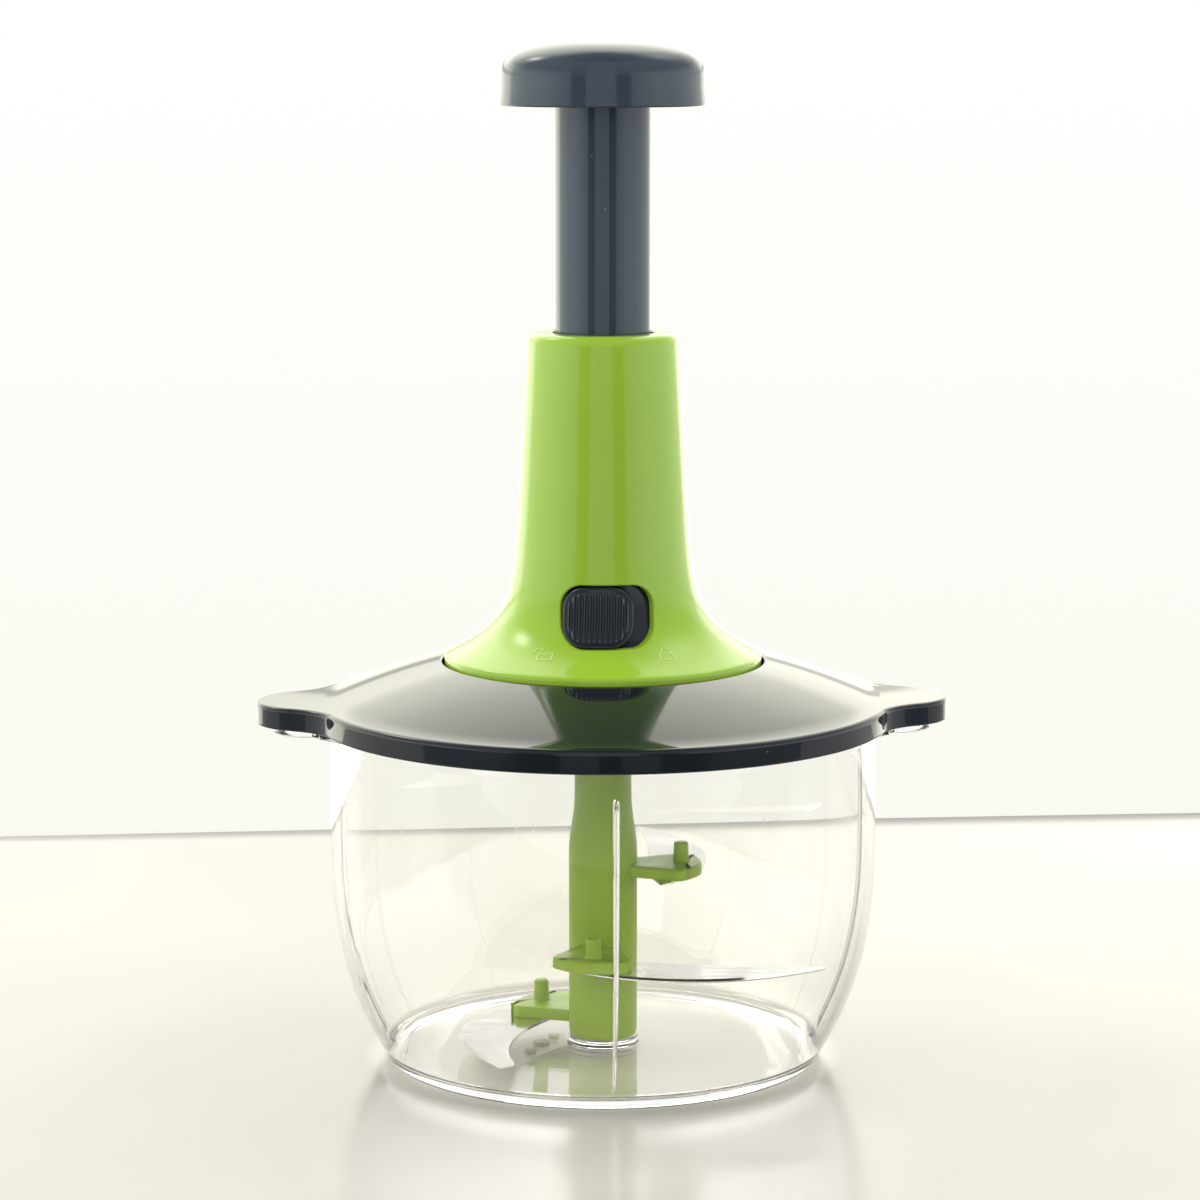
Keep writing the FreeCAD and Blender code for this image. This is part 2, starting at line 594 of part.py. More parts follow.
def lid():
    """Domed lid with two ears, a plug ring that enters the bowl, and a well for the head."""
    plug_outer = plug_radius()
    plug_inner = plug_outer - PLUG_THICKNESS
    plug_bottom = LID_UNDERSIDE - PLUG_DEPTH
    groove_low = plug_bottom + SEAL_RISE
    groove_top = groove_low + SEAL_HEIGHT
    groove_radius = plug_outer - SEAL_GROOVE_DEPTH
    well_outer = HEAD_HOLE_RADIUS + WELL_WALL
    run = DOME_FOOT_RADIUS - HEAD_HOLE_RADIUS

    def dome(r):
        part = (DOME_FOOT_RADIUS - r) / run
        return RIM_TOP + DOME_RISE * part + 4 * DOME_BULGE * part * (1 - part)

    def dome_curve(outer, inner, drop):
        return [(r, dome(r) - drop) for r in smooth_range(outer, inner, 5)]

    top_curve = dome_curve(DOME_FOOT_RADIUS, HEAD_HOLE_RADIUS + HEAD_HOLE_ROUNDING, 0)
    under_curve = dome_curve(well_outer, plug_inner, LID_WALL * 1.05)
    hole = bearing_radius() + GAP
    shell = turned(
        (hole, WELL_BOTTOM), (well_outer, WELL_BOTTOM), under_curve[0], under_curve[1:],
        (plug_inner, plug_bottom), (plug_outer, plug_bottom),
        (plug_outer, groove_low), (groove_radius, groove_low),
        (groove_radius, groove_top), (plug_outer, groove_top),
        (plug_outer, LID_UNDERSIDE), (DOME_FOOT_RADIUS, LID_UNDERSIDE),
        top_curve[0], top_curve[1:],
        (HEAD_HOLE_RADIUS, DOME_TOP - HEAD_HOLE_ROUNDING), (HEAD_HOLE_RADIUS, WELL_TOP),
        (hole, WELL_TOP))
    rim = prism(eared_outline(LID_RADIUS, EAR_TIP, EAR_TIP_RADIUS, EAR_FILLET), RIM_BOTTOM, RIM_TOP)
    rim = rounded(rim, RIM_ROUNDING, lambda e: level_edge(e, RIM_TOP))
    inside = prism(eared_outline(LID_RADIUS - LID_WALL, EAR_TIP - LID_WALL,
                                 EAR_TIP_RADIUS - LID_WALL, EAR_FILLET + LID_WALL),
                   RIM_BOTTOM, LID_UNDERSIDE)
    rim = rim.cut(inside).cut(cylinder(DOME_FOOT_RADIUS - 1, RIM_BOTTOM, RIM_TOP))
    whole = union([shell, rim])
    for angle in SCREW_ANGLES:
        at = polar(SCREW_CIRCLE_RADIUS, angle)
        whole = whole.cut(cylinder(SCREW_RADIUS + GAP, WELL_BOTTOM, WELL_TOP, at.x, at.y))
    return whole


def lid_seal():
    """Soft ring in the groove of the plug, with a lip towards the bowl."""
    low = LID_UNDERSIDE - PLUG_DEPTH + SEAL_RISE
    high = low + SEAL_HEIGHT
    inner = plug_radius() - SEAL_GROOVE_DEPTH + SEAT
    lip = bowl_radius(BOWL_HEIGHT) - BOWL_WALL - GAP
    body = plug_radius()
    play = SEAT
    return turned((inner, low + play), (body, low + play), (lip, low + SEAL_HEIGHT * 0.35),
                  (lip, low + SEAL_HEIGHT * 0.65), (body, high - play), (inner, high - play))


# ---------------------------------------------------------------- bearing plate and ratchet
def bearing_radius():
    return SOCKET_RADIUS + RUN + BEARING_WALL


def cover_radius():
    """Inside radius of the cover, round the flange of the socket."""
    return SOCKET_FLANGE_RADIUS + 1.2


def base_plate():
    """Plate on the floor of the lid's well, with the bearing tube of the drive socket."""
    plate = ring(HEAD_HOLE_RADIUS - PLATE_CLEARANCE, SOCKET_RADIUS + RUN, WELL_TOP, PLATE_TOP)
    tube = ring(bearing_radius(), SOCKET_RADIUS + RUN, WELL_TOP - BEARING_DROP, PLATE_TOP)
    plate = union([plate, tube])
    for angle in SCREW_ANGLES:
        at = polar(SCREW_CIRCLE_RADIUS, angle)
        plate = plate.cut(cylinder(SCREW_RADIUS + GAP, WELL_TOP, PLATE_TOP, at.x, at.y))
        at = polar(COVER_SCREW_CIRCLE_RADIUS, angle)
        plate = plate.cut(cylinder(SMALL_SCREW_RADIUS + SEAT, WELL_TOP, PLATE_TOP, at.x, at.y))
    return plate


def ratchet_teeth(base, rise, turn):
    """Ring of saw teeth: each ramps up over one pitch and ends in an upright face. A negative
    rise hangs the teeth below the base, ramping the same way."""
    pitch = 360.0 / TOOTH_COUNT
    teeth = []
    for angle in evenly(TOOTH_COUNT, turn):
        ends = []
        for radius in (TOOTH_INNER_RADIUS, SOCKET_FLANGE_RADIUS):
            first = polar(radius, angle, base)
            last = polar(radius, angle + pitch, base)
            apex = (last if rise > 0 else first) + Vector(0, 0, rise)
            ends.append(Part.makePolygon([first, last, apex, first]))
        teeth.append(Part.makeLoft(ends, True, True))
    return teeth


def drive_socket():
    """Turns in the bearing tube; a hexagon socket below takes the blade shaft."""
    journal = cylinder(SOCKET_RADIUS, SOCKET_BOTTOM, PLATE_TOP + GAP)
    flange = cylinder(SOCKET_FLANGE_RADIUS, PLATE_TOP + GAP, SOCKET_TOP)
    bore = prism(hexagon(HEX_ACROSS_FLATS + 2 * HEX_PLAY), SOCKET_BOTTOM,
                 SHAFT_SHOULDER_Z + HEX_LENGTH + GAP)
    body = union([journal, flange]).cut(bore)
    return union([body] + ratchet_teeth(SOCKET_TOP, TOOTH_HEIGHT, 0.0))


def ratchet_driver():
    """Disc with teeth below and a boss that holds the foot of the rod."""
    lash = 1.0
    disc = cylinder(SOCKET_FLANGE_RADIUS, DRIVER_BOTTOM, DRIVER_TOP)
    boss = cylinder(DRIVER_BOSS_RADIUS, DRIVER_BOTTOM, DRIVER_BOSS_TOP)
    body = union([disc, boss])
    body = union([body] + ratchet_teeth(DRIVER_BOTTOM, -TOOTH_HEIGHT, lash))
    body = body.cut(cylinder(ROD_RADIUS + RUN, ROD_BOTTOM, DRIVER_BOSS_TOP))
    return body.cut(cross_pin_shape(CROSS_PIN_RADIUS + SEAT, DRIVER_BOSS_RADIUS))


def cross_pin_shape(radius, half_length):
    """Cylinder through the boss, square to the flat of the rod at that height."""
    z = (DRIVER_TOP + DRIVER_BOSS_TOP) / 2
    pin = Part.makeCylinder(radius, 2 * half_length, Vector(0, -half_length, z), Vector(0, 1, 0))
    pin.rotate(ORIGIN, Z_AXIS, -360 * (z - ROD_BOTTOM) / ROD_LEAD)
    return pin


def rod_pin():
    return cross_pin_shape(CROSS_PIN_RADIUS, DRIVER_BOSS_RADIUS - SEAT)


def drive_rod():
    """Twisted flat bar, pinned in the driver's boss."""
    rod = twisted_bar(ROD_WIDTH, ROD_THICKNESS, ROD_BOTTOM, ROD_TOP)
    return rod.cut(cross_pin_shape(CROSS_PIN_RADIUS + SEAT, DRIVER_BOSS_RADIUS))


def clutch_cover():
    """Cup over the ratchet. Its spigot centres the return spring."""
    inner = cover_radius()
    outer = inner + COVER_WALL
    hole = ROD_RADIUS + GAP
    ceiling = COVER_TOP - COVER_WALL
    cup = turned(
        (inner, PLATE_TOP), (COVER_FLANGE_RADIUS, PLATE_TOP),
        (COVER_FLANGE_RADIUS, PLATE_TOP + COVER_FLANGE), (outer, PLATE_TOP + COVER_FLANGE),
        (outer, COVER_TOP - 1.2), (outer - 1.2, COVER_TOP), (SPIGOT_RADIUS, COVER_TOP),
        (SPIGOT_RADIUS, COVER_TOP + SPIGOT_HEIGHT), (hole, COVER_TOP + SPIGOT_HEIGHT),
        (hole, ceiling), (inner, ceiling))
    for angle in SCREW_ANGLES:
        at = polar(COVER_SCREW_CIRCLE_RADIUS, angle)
        cup = cup.cut(cylinder(SMALL_SCREW_RADIUS + GAP / 2, PLATE_TOP,
                               PLATE_TOP + COVER_FLANGE, at.x, at.y))
    return cup


def cover_screws():
    """Three small screws through the cover's flange into the plate."""
    head_z = PLATE_TOP + COVER_FLANGE
    length = COVER_FLANGE + PLATE_THICKNESS - GAP
    places = [polar(COVER_SCREW_CIRCLE_RADIUS, angle) for angle in SCREW_ANGLES]
    return Part.makeCompound([
        screw(SMALL_SCREW_RADIUS, SMALL_SCREW_HEAD_RADIUS, SMALL_SCREW_HEAD_HEIGHT, length,
              at.x, at.y, head_z, False) for at in places])


def return_spring():
    """Compression spring from the cover to the nut: an eight-sided wire swept along a helix."""
    low = COVER_TOP + SPRING_WIRE
    high = NUT_BOTTOM - SPRING_WIRE
    path = Part.Wire(Part.makeHelix((high - low) / SPRING_COILS, high - low, SPRING_RADIUS).Edges)
    path.translate(Vector(0, 0, low))
    start = Vector(SPRING_RADIUS, 0, low)
    corners = [start + Vector(SPRING_WIRE * math.cos(a), 0, SPRING_WIRE * math.sin(a))
               for a in (math.radians(angle) for angle in evenly(SPRING_SIDES, 180 / SPRING_SIDES))]
    return path.makePipeShell([Part.makePolygon(corners + corners[:1])], True, True)


# ---------------------------------------------------------------- housing
def housing_radius(z):
    """Outside radius: a straight taper with an exponential flare at the foot."""
    straight = HOUSING_TOP_RADIUS + HOUSING_TAPER * (HOUSING_TOP - z)
    flare = HOUSING_EDGE_RADIUS - (HOUSING_TOP_RADIUS + HOUSING_TAPER * (HOUSING_TOP - HOUSING_EDGE_Z))
    height = max(0.0, z - HOUSING_EDGE_Z) / FLARE_LENGTH
    return straight + flare * math.exp(-height ** FLARE_POWER)


def housing_point(z, depth):
    """Point under the housing's skin, square to it."""
    step = 0.05
    slope = (housing_radius(z + step) - housing_radius(z - step)) / (2 * step)
    length = math.hypot(1, slope)
    return housing_radius(z) - depth / length, z + depth * slope / length


FLARE_LEVELS = (0, 1.5, 3.5, 6, 9, 12.5, 17, 24, 34)   # above the housing's edge


def skin_curve(depth, low=None, high=None):
    """Points up the housing's side at a depth under its skin."""
    levels = [HOUSING_EDGE_Z + rise for rise in FLARE_LEVELS]
    if low is not None:
        inner = [z for z in levels if low + 0.5 < z < high - 0.5]
        levels = [low] + inner + [high]
    return [housing_point(z, depth) for z in levels]


def housing_skin(depth):
    """Solid inside the housing's skin at a depth, from the plate to under the top."""
    side = skin_curve(depth)
    top_radius = HOUSING_TOP_RADIUS - depth
    edge = HOUSING_EDGE_RADIUS - depth
    low = min(side[0][1], HOUSING_EDGE_Z - depth)
    crown = HOUSING_TOP - CROWN_RISE
    if depth > 0:
        return turned((0, PLATE_TOP), (edge, PLATE_TOP), (edge, low - 0.4), side[0], side[1:],
                      (top_radius + HOUSING_TAPER * (HOUSING_TOP - BUSH_BOTTOM), BUSH_BOTTOM),
                      (0, BUSH_BOTTOM))
    return turned((0, PLATE_TOP), (edge, PLATE_TOP), (edge, HOUSING_EDGE_Z - 0.6),
                  side[0], side[1:], (housing_radius(crown), crown),
                  [(HOUSING_TOP_RADIUS - 1.6, HOUSING_TOP - 0.5), (HOUSING_TOP_RADIUS - 4, HOUSING_TOP)],
                  (0, HOUSING_TOP))


def stadium(width, height, rounding, y_from, y_to, z):
    """Rounded slot shape standing upright in the XZ plane, extruded along Y."""
    wide = width / 2 - rounding
    tall = height / 2 - rounding
    boxes = [Part.makeBox(width, y_to - y_from, max(2 * tall, 0.01),
                          Vector(-width / 2, y_from, z - max(tall, 0.005))),
             Part.makeBox(2 * wide, y_to - y_from, height, Vector(-wide, y_from, z - height / 2))]
    rounds = [Part.makeCylinder(rounding, y_to - y_from, Vector(sx * wide, y_from, z + sz * tall),
                                Vector(0, 1, 0)) for sx in (-1, 1) for sz in (-1, 1)]
    return union(boxes + rounds)


def housing():
    """Moulded shell with a collar above, guide rails, screw bosses, the slider's window and
    the channel that holds the slider."""
    outside = housing_skin(0.0)
    inside = housing_skin(HOUSING_WALL)
    shell = outside.cut(inside)
    shell = shell.cut(cylinder(POCKET_RADIUS, BUSH_BOTTOM - 0.01, COLLAR_Z))
    shell = shell.cut(cylinder(TUBE_RADIUS + COLLAR_PLAY, COLLAR_Z, HOUSING_TOP))
    rail_low = LOCKED_FLANGE_TOP - FLANGE_HEIGHT - 1.0
    rails = [block(RAIL_INNER_RADIUS, HOUSING_EDGE_RADIUS, RAIL_WIDTH, rail_low, BUSH_BOTTOM, angle)
             for angle in (0.0, 180.0)]
    bosses = []
    for angle in SCREW_ANGLES:
        at = polar(SCREW_CIRCLE_RADIUS, angle)
        bosses.append(cylinder(SCREW_BOSS_RADIUS, PLATE_TOP, HOUSING_TOP, at.x, at.y))
    inner_parts = [part.common(housing_skin(HOUSING_WALL / 2)) for part in rails + bosses]
    shell = union([shell, slider_channel()] + inner_parts)
    for angle in SCREW_ANGLES:
        at = polar(SCREW_CIRCLE_RADIUS, angle)
        pilot = SCREW_LENGTH - WELL_FLOOR - PLATE_THICKNESS + GAP
        shell = shell.cut(cylinder(SCREW_RADIUS + SEAT, PLATE_TOP, PLATE_TOP + pilot, at.x, at.y))
    window = stadium(WINDOW_WIDTH, WINDOW_HEIGHT, WINDOW_CORNER, -HOUSING_EDGE_RADIUS,
                     -TUBE_RADIUS, WINDOW_Z)
    return shell.cut(window)


def slider_span():
    """Lowest and highest level of the slider's plate, measured on the housing's skin."""
    return WINDOW_Z - WINDOW_HEIGHT / 2 - SLIDER_BELOW, WINDOW_Z + WINDOW_HEIGHT / 2 + SLIDER_ABOVE


def slider_channel():
    """Hooked rib inside the shell that the slider's upper edge runs in."""
    plate_top = slider_span()[1]
    lip_depth = HOUSING_WALL + GAP + SLIDER_PLATE + GAP
    skin = housing_point(plate_top, HOUSING_WALL / 2)[0]
    lip = housing_point(plate_top, lip_depth)[0]
    half = SLIDER_HALF_ANGLE + LOCK_TURN / 2 + CHANNEL_MARGIN
    low = plate_top - CHANNEL_HOOK
    ledge = plate_top + GAP
    top = ledge + CHANNEL_RIB
    return turned_part(FRONT - half, FRONT + half, (skin, ledge), (skin, top),
                       (lip - CHANNEL_LIP, top), (lip - CHANNEL_LIP, low), (lip, low), (lip, ledge))


def housing_screws():
    """Three screws from under the lid's well, through the plate, into the housing."""
    places = [polar(SCREW_CIRCLE_RADIUS, angle) for angle in SCREW_ANGLES]
    return Part.makeCompound([
        screw(SCREW_RADIUS, SCREW_HEAD_RADIUS, SCREW_HEAD_HEIGHT, SCREW_LENGTH,
              at.x, at.y, WELL_BOTTOM, True) for at in places])


def guide_bush():
    """Smooth ring that guides the tube; the tube's flange stops under it."""
    return ring(POCKET_RADIUS - SEAT, TUBE_RADIUS + RUN, BUSH_BOTTOM, COLLAR_Z)


def lock_slider():
    """Curved plate behind the window, with a ribbed grip in front and a finger inside that
    reaches over the tube's flange when the knob is locked down."""
    low, high = slider_span()
    depth = HOUSING_WALL + GAP
    outer = skin_curve(depth, low, high)
    inner = skin_curve(depth + SLIDER_PLATE, low, high)
    inner.reverse()
    half = SLIDER_HALF_ANGLE
    plate = turned_part(FRONT - half, FRONT + half, outer[0], outer[1:], inner[0], inner[1:])
    proud = skin_curve(-GRIP_PROUD, low, high)
    under = skin_curve(depth + SLIDER_PLATE / 2, low, high)
    under.reverse()
    block_of_grip = turned_part(FRONT - half, FRONT + half, proud[0], proud[1:], under[0], under[1:])
    grip = block_of_grip.common(stadium(GRIP_WIDTH, GRIP_HEIGHT, GRIP_CORNER,
                                        -HOUSING_EDGE_RADIUS, -TUBE_RADIUS, WINDOW_Z))
    root_z = min(max(FINGER_Z, low + FINGER_SEAT), high - FINGER_SEAT)
    root = housing_point(root_z, depth + SLIDER_PLATE / 2)[0]
    finger_top = FINGER_Z + FINGER_HEIGHT
    finger = block(FLANGE_RADIUS - FINGER_REACH, root, FINGER_WIDTH, FINGER_Z, finger_top, FRONT)
    stem = block(root - FINGER_STEM, root, FINGER_WIDTH, min(FINGER_Z, root_z),
                 max(finger_top, root_z), FRONT)
    slider = union([plate, grip, finger, stem])
    slider = slider.cut(Part.makeCompound(grip_grooves()))
    slider.rotate(ORIGIN, Z_AXIS, -LOCK_TURN / 2)
    return slider


def grip_grooves():
    """Upright grooves in the face of the grip. Their ends follow its rounded outline."""
    pitch = (GRIP_WIDTH - 2 * GRIP_MARGIN) / GRIP_GROOVES
    low, high = slider_span()
    floor = skin_curve(GRIP_GROOVE_DEPTH - GRIP_PROUD, low, high)
    face = skin_curve(-GRIP_PROUD - 1.0, low, high)
    face.reverse()
    half = SLIDER_HALF_ANGLE
    skin = turned_part(FRONT - half, FRONT + half, floor[0], floor[1:], face[0], face[1:])
    grooves = []
    for k in range(GRIP_GROOVES):
        x = (k - (GRIP_GROOVES - 1) / 2) * pitch
        into_corner = max(0.0, abs(x) - GRIP_WIDTH / 2 + GRIP_CORNER)
        drop = GRIP_CORNER - math.sqrt(GRIP_CORNER ** 2 - into_corner ** 2)
        tall = GRIP_HEIGHT - 2 * GRIP_MARGIN - 2 * drop
        slot = Part.makeBox(GRIP_GROOVE_WIDTH, HOUSING_EDGE_RADIUS, tall,
                            Vector(x - GRIP_GROOVE_WIDTH / 2, -HOUSING_EDGE_RADIUS,
                                   WINDOW_Z - tall / 2))
        grooves.append(skin.common(slot))
    return grooves


# ---------------------------------------------------------------- plunger
def plunger_tube():
    """Tube from the knob down to a notched flange, with a web inside that carries the nut."""
    web_top = WEB_Z + WEB_THICKNESS
    hole = ROD_RADIUS + GAP
    tube = turned(
        (TUBE_BORE, FLANGE_REST_Z), (FLANGE_RADIUS, FLANGE_REST_Z),
        (FLANGE_RADIUS, FLANGE_REST_Z + FLANGE_HEIGHT), (TUBE_RADIUS, FLANGE_REST_Z + FLANGE_HEIGHT),
        (TUBE_RADIUS, TUBE_TOP), (TUBE_BORE, TUBE_TOP), (TUBE_BORE, web_top), (hole, web_top),
        (hole, WEB_Z), (TUBE_BORE, WEB_Z))
    notch_top = FLANGE_REST_Z + FLANGE_HEIGHT
    for angle in (0.0, 180.0):
        tube = tube.cut(block(RAIL_INNER_RADIUS - GAP, FLANGE_RADIUS + 1, RAIL_WIDTH + 2 * GAP,
                              FLANGE_REST_Z, notch_top, angle))
    tube = tube.cut(block(FLANGE_RADIUS - FINGER_REACH - GAP, FLANGE_RADIUS + 1,
                          FINGER_WIDTH + 3 * GAP, FLANGE_REST_Z, notch_top,
                          FRONT - LOCK_TURN / 2))
    for angle in NUT_SCREW_ANGLES:
        at = polar(NUT_SCREW_CIRCLE_RADIUS, angle)
        tube = tube.cut(cylinder(SMALL_SCREW_RADIUS + GAP / 2, WEB_Z, web_top, at.x, at.y))
    return tube


def twist_nut():
    """Nut under the tube's web, with a slot of the rod's own twist."""
    nut = cylinder(TUBE_BORE - SEAT, NUT_BOTTOM, WEB_Z)
    slot = twisted_bar(ROD_WIDTH + 2 * ROD_PLAY, ROD_THICKNESS + 2 * ROD_PLAY,
                       NUT_BOTTOM - 1, WEB_Z + 1)
    nut = nut.cut(slot)
    for angle in NUT_SCREW_ANGLES:
        at = polar(NUT_SCREW_CIRCLE_RADIUS, angle)
        nut = nut.cut(cylinder(SMALL_SCREW_RADIUS + SEAT, NUT_BOTTOM, WEB_Z, at.x, at.y))
    return nut


def nut_screws():
    head_z = WEB_Z + WEB_THICKNESS
    length = WEB_THICKNESS + NUT_HEIGHT - 2
    places = [polar(NUT_SCREW_CIRCLE_RADIUS, angle) for angle in NUT_SCREW_ANGLES]
    return Part.makeCompound([
        screw(SMALL_SCREW_RADIUS, SMALL_SCREW_HEAD_RADIUS, SMALL_SCREW_HEAD_HEIGHT, length,
              at.x, at.y, head_z, False) for at in places])


def knob_form(depth):
    """Solid inside the knob's skin at a depth: a leaning skirt, a soft shoulder and a crown."""
    low = KNOB_BOTTOM if depth > 0 else KNOB_BOTTOM + 0.6
    top = KNOB_TOP - depth
    side = (KNOB_SKIRT_RADIUS - depth, KNOB_SHOULDER_Z - depth * 0.4)
    shoulder = [(KNOB_SKIRT_RADIUS - inset - depth * 0.75, top - drop)
                for inset, drop in KNOB_SHOULDER]
    foot = [(KNOB_RADIUS - depth, low)]
    if depth == 0:
        foot.insert(0, (KNOB_RADIUS - 0.6, KNOB_BOTTOM))
    return turned((0, KNOB_BOTTOM), *foot, side, shoulder + [(0, top)])


def press_knob():
    """Hollow mushroom knob with a hub that takes the tube and ribs inside."""
    hub_inner = TUBE_RADIUS + SEAT
    hub_outer = hub_inner + KNOB_HUB_WALL
    hub_low = KNOB_BOTTOM + KNOB_HUB_RISE
    shell = knob_form(0).cut(knob_form(KNOB_WALL))
    between = knob_form(KNOB_WALL / 2)
    hub = ring(hub_outer, hub_inner, hub_low, KNOB_TOP)
    ribs = [block(hub_outer - 0.5, KNOB_RADIUS, KNOB_RIB_THICKNESS, hub_low + 2, KNOB_TOP, angle)
            for angle in evenly(KNOB_RIBS, 180.0 / KNOB_RIBS)]
    return union([shell] + [part.common(between) for part in [hub] + ribs])


# ---------------------------------------------------------------- all pieces
PIECES = {
    "bowl": bowl,
    "pivot_pin": pivot_pin,
    "blade_shaft": blade_shaft,
    "foot_bush": foot_bush,
    "low_blade": lambda: blade(0),
    "middle_blade": lambda: blade(1),
    "upper_blade": lambda: blade(2),
    "lid": lid,
    "lid_seal": lid_seal,
    "base_plate": base_plate,
    "drive_socket": drive_socket,
    "ratchet_driver": ratchet_driver,
    "rod_pin": rod_pin,
    "drive_rod": drive_rod,
    "clutch_cover": clutch_cover,
    "cover_screws": cover_screws,
    "return_spring": return_spring,
    "housing": housing,
    "housing_screws": housing_screws,
    "guide_bush": guide_bush,
    "lock_slider": lock_slider,
    "plunger_tube": plunger_tube,
    "twist_nut": twist_nut,
    "nut_screws": nut_screws,
    "press_knob": press_knob,
}


def main():
    os.makedirs("parts", exist_ok=True)
    for name, make in PIECES.items():
        shape = make()
        shape.exportStep(os.path.join("parts", name + ".step"))
        box = shape.BoundBox
        print(f"{name}: {len(shape.Solids)} solid(s), {shape.Volume:.0f} mm3, valid {shape.isValid()}, "
              f"z {box.ZMin:.1f} to {box.ZMax:.1f}, x {box.XMin:.1f} to {box.XMax:.1f}")


main()
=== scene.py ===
"""Plunger food chopper, dressed for rendering.

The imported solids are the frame. The bowl, lid, pump housing, lock slider, knob, tube and blade
shaft get finished surfaces, each worked out in millimetres in the frame of the solids as a
function of two parameters. The pieces inside the pump and the blades keep their solids and get
materials. +Z is up, the front is -Y, and the blade axis is the Z axis.
"""

from math import acos, atan2, cos, pi, radians, sin, sqrt, tan

import bmesh
import bpy
import numpy as np
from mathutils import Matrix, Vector


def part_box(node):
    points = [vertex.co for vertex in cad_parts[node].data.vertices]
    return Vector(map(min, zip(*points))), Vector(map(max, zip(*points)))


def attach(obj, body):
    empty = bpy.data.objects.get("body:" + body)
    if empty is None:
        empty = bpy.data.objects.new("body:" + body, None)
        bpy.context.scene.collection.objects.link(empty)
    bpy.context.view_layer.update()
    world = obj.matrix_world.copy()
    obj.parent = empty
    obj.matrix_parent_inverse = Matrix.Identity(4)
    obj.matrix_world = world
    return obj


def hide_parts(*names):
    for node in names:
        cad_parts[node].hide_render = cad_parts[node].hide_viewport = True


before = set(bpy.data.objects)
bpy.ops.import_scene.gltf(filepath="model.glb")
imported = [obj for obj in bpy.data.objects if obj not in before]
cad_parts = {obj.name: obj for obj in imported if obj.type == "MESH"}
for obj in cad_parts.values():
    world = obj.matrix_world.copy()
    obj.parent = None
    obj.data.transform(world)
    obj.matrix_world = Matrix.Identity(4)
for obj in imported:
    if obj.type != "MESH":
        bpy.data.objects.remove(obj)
scene = bpy.context.scene
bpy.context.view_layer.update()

MM = 0.001
TURN = 2 * pi
FRONT = -pi / 2
HOLD = 0.12  # straight run beside a rounding, as a share of its radius
SLAB_HOLD = 1.15  # where the flat face of a plate starts, in radii of its edge
WELD = 2e-6  # metres within which vertices become one
SLIVER = 1e-6  # metres under which an edge is taken out


def lowest(node):
    """Lowest corner of a solid, in mm."""
    return np.array(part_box(node)[0]) / MM


def highest(node):
    """Highest corner of a solid, in mm."""
    return np.array(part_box(node)[1]) / MM


def held(value):
    """Value held between 0 and 1."""
    return np.clip(value, 0, 1)


# ---- meshes from arrays
def rounded(*corners, closed=False, steps=6):
    """Polyline through corners given as (x, y), or (x, y, radius) where an arc of that radius
    replaces the corner. With u and v the arc's end spokes and w the angle between them, a
    point on it is centre + (u sin(w - wt) + v sin(wt)) / sin w."""
    corners = [np.array(c, float) for c in corners]
    count = len(corners)
    line = []
    for i, corner in enumerate(corners):
        point = corner[:2]
        if len(corner) == 2 or (not closed and i in (0, count - 1)):
            line.append(point[None])
            continue
        back = corners[i - 1][:2] - point
        ahead = corners[(i + 1) % count][:2] - point
        back /= np.linalg.norm(back)
        ahead /= np.linalg.norm(ahead)
        half = 0.5 * acos(np.clip(back @ ahead, -1, 1))
        reach = corner[2] / tan(half)
        middle = (back + ahead) / np.linalg.norm(back + ahead)
        centre = point + middle * corner[2] / sin(half)
        u, v = point + back * reach - centre, point + ahead * reach - centre
        w = pi - 2 * half
        t = np.linspace(0, 1, steps + 1)[:, None]
        hold = HOLD * corner[2]
        line += [(point + back * (reach + hold))[None],
                 centre + (u * np.sin(w - w * t) + v * np.sin(w * t)) / sin(w),
                 (point + ahead * (reach + hold))[None]]
    return np.vstack(line)


def directions(count, *places):
    """Angles round the axis, with extra ones at places given as (angle, half width, count)."""
    angles = [np.linspace(0, TURN, count, endpoint=False)]
    angles += [(angle + np.linspace(-half, half, extra)) % TURN for angle, half, extra in places]
    return np.unique(np.round(np.concatenate(angles), 7))


def joined(*coordinates):
    """Points from lists of their coordinates. A single number holds for all of them."""
    return np.column_stack(np.broadcast_arrays(*coordinates))


def both_sides(half, count):
    """Places at +X and -X where directions() gets extra angles."""
    return (0.0, half, count), (pi, half, count)


def polar(radius, a, z):
    """Points at a distance from the axis, an angle round it and a height."""
    return np.stack(np.broadcast_arrays(radius * np.cos(a), radius * np.sin(a), z), axis=-1)


def turned(profile, angles, reach=None):
    """Profile of (r, z) carried round the axis: (R cos a, R sin a, z), where R is r, or
    reach(r, z, a) where that is given."""
    r, z, a = profile[:, :1], profile[:, 1:], angles[None]
    radius = r + 0 * a if reach is None else reach(r, z, a)
    return polar(radius, a, z)


def moved(points, x=0.0, y=0.0, z=0.0, angle=0.0):
    """Points turned about Z by an angle, then shifted."""
    c, s = cos(angle), sin(angle)
    return points @ np.array([[c, s, 0], [-s, c, 0], [0, 0, 1]]) + np.array([x, y, z])


def normals_of(line):
    """Unit normals of a closed plane line, to the right of its direction."""
    along = np.roll(line, -1, axis=0) - np.roll(line, 1, axis=0)
    across = np.stack([along[:, 1], -along[:, 0]], axis=1)
    return across / np.linalg.norm(across, axis=1, keepdims=True)


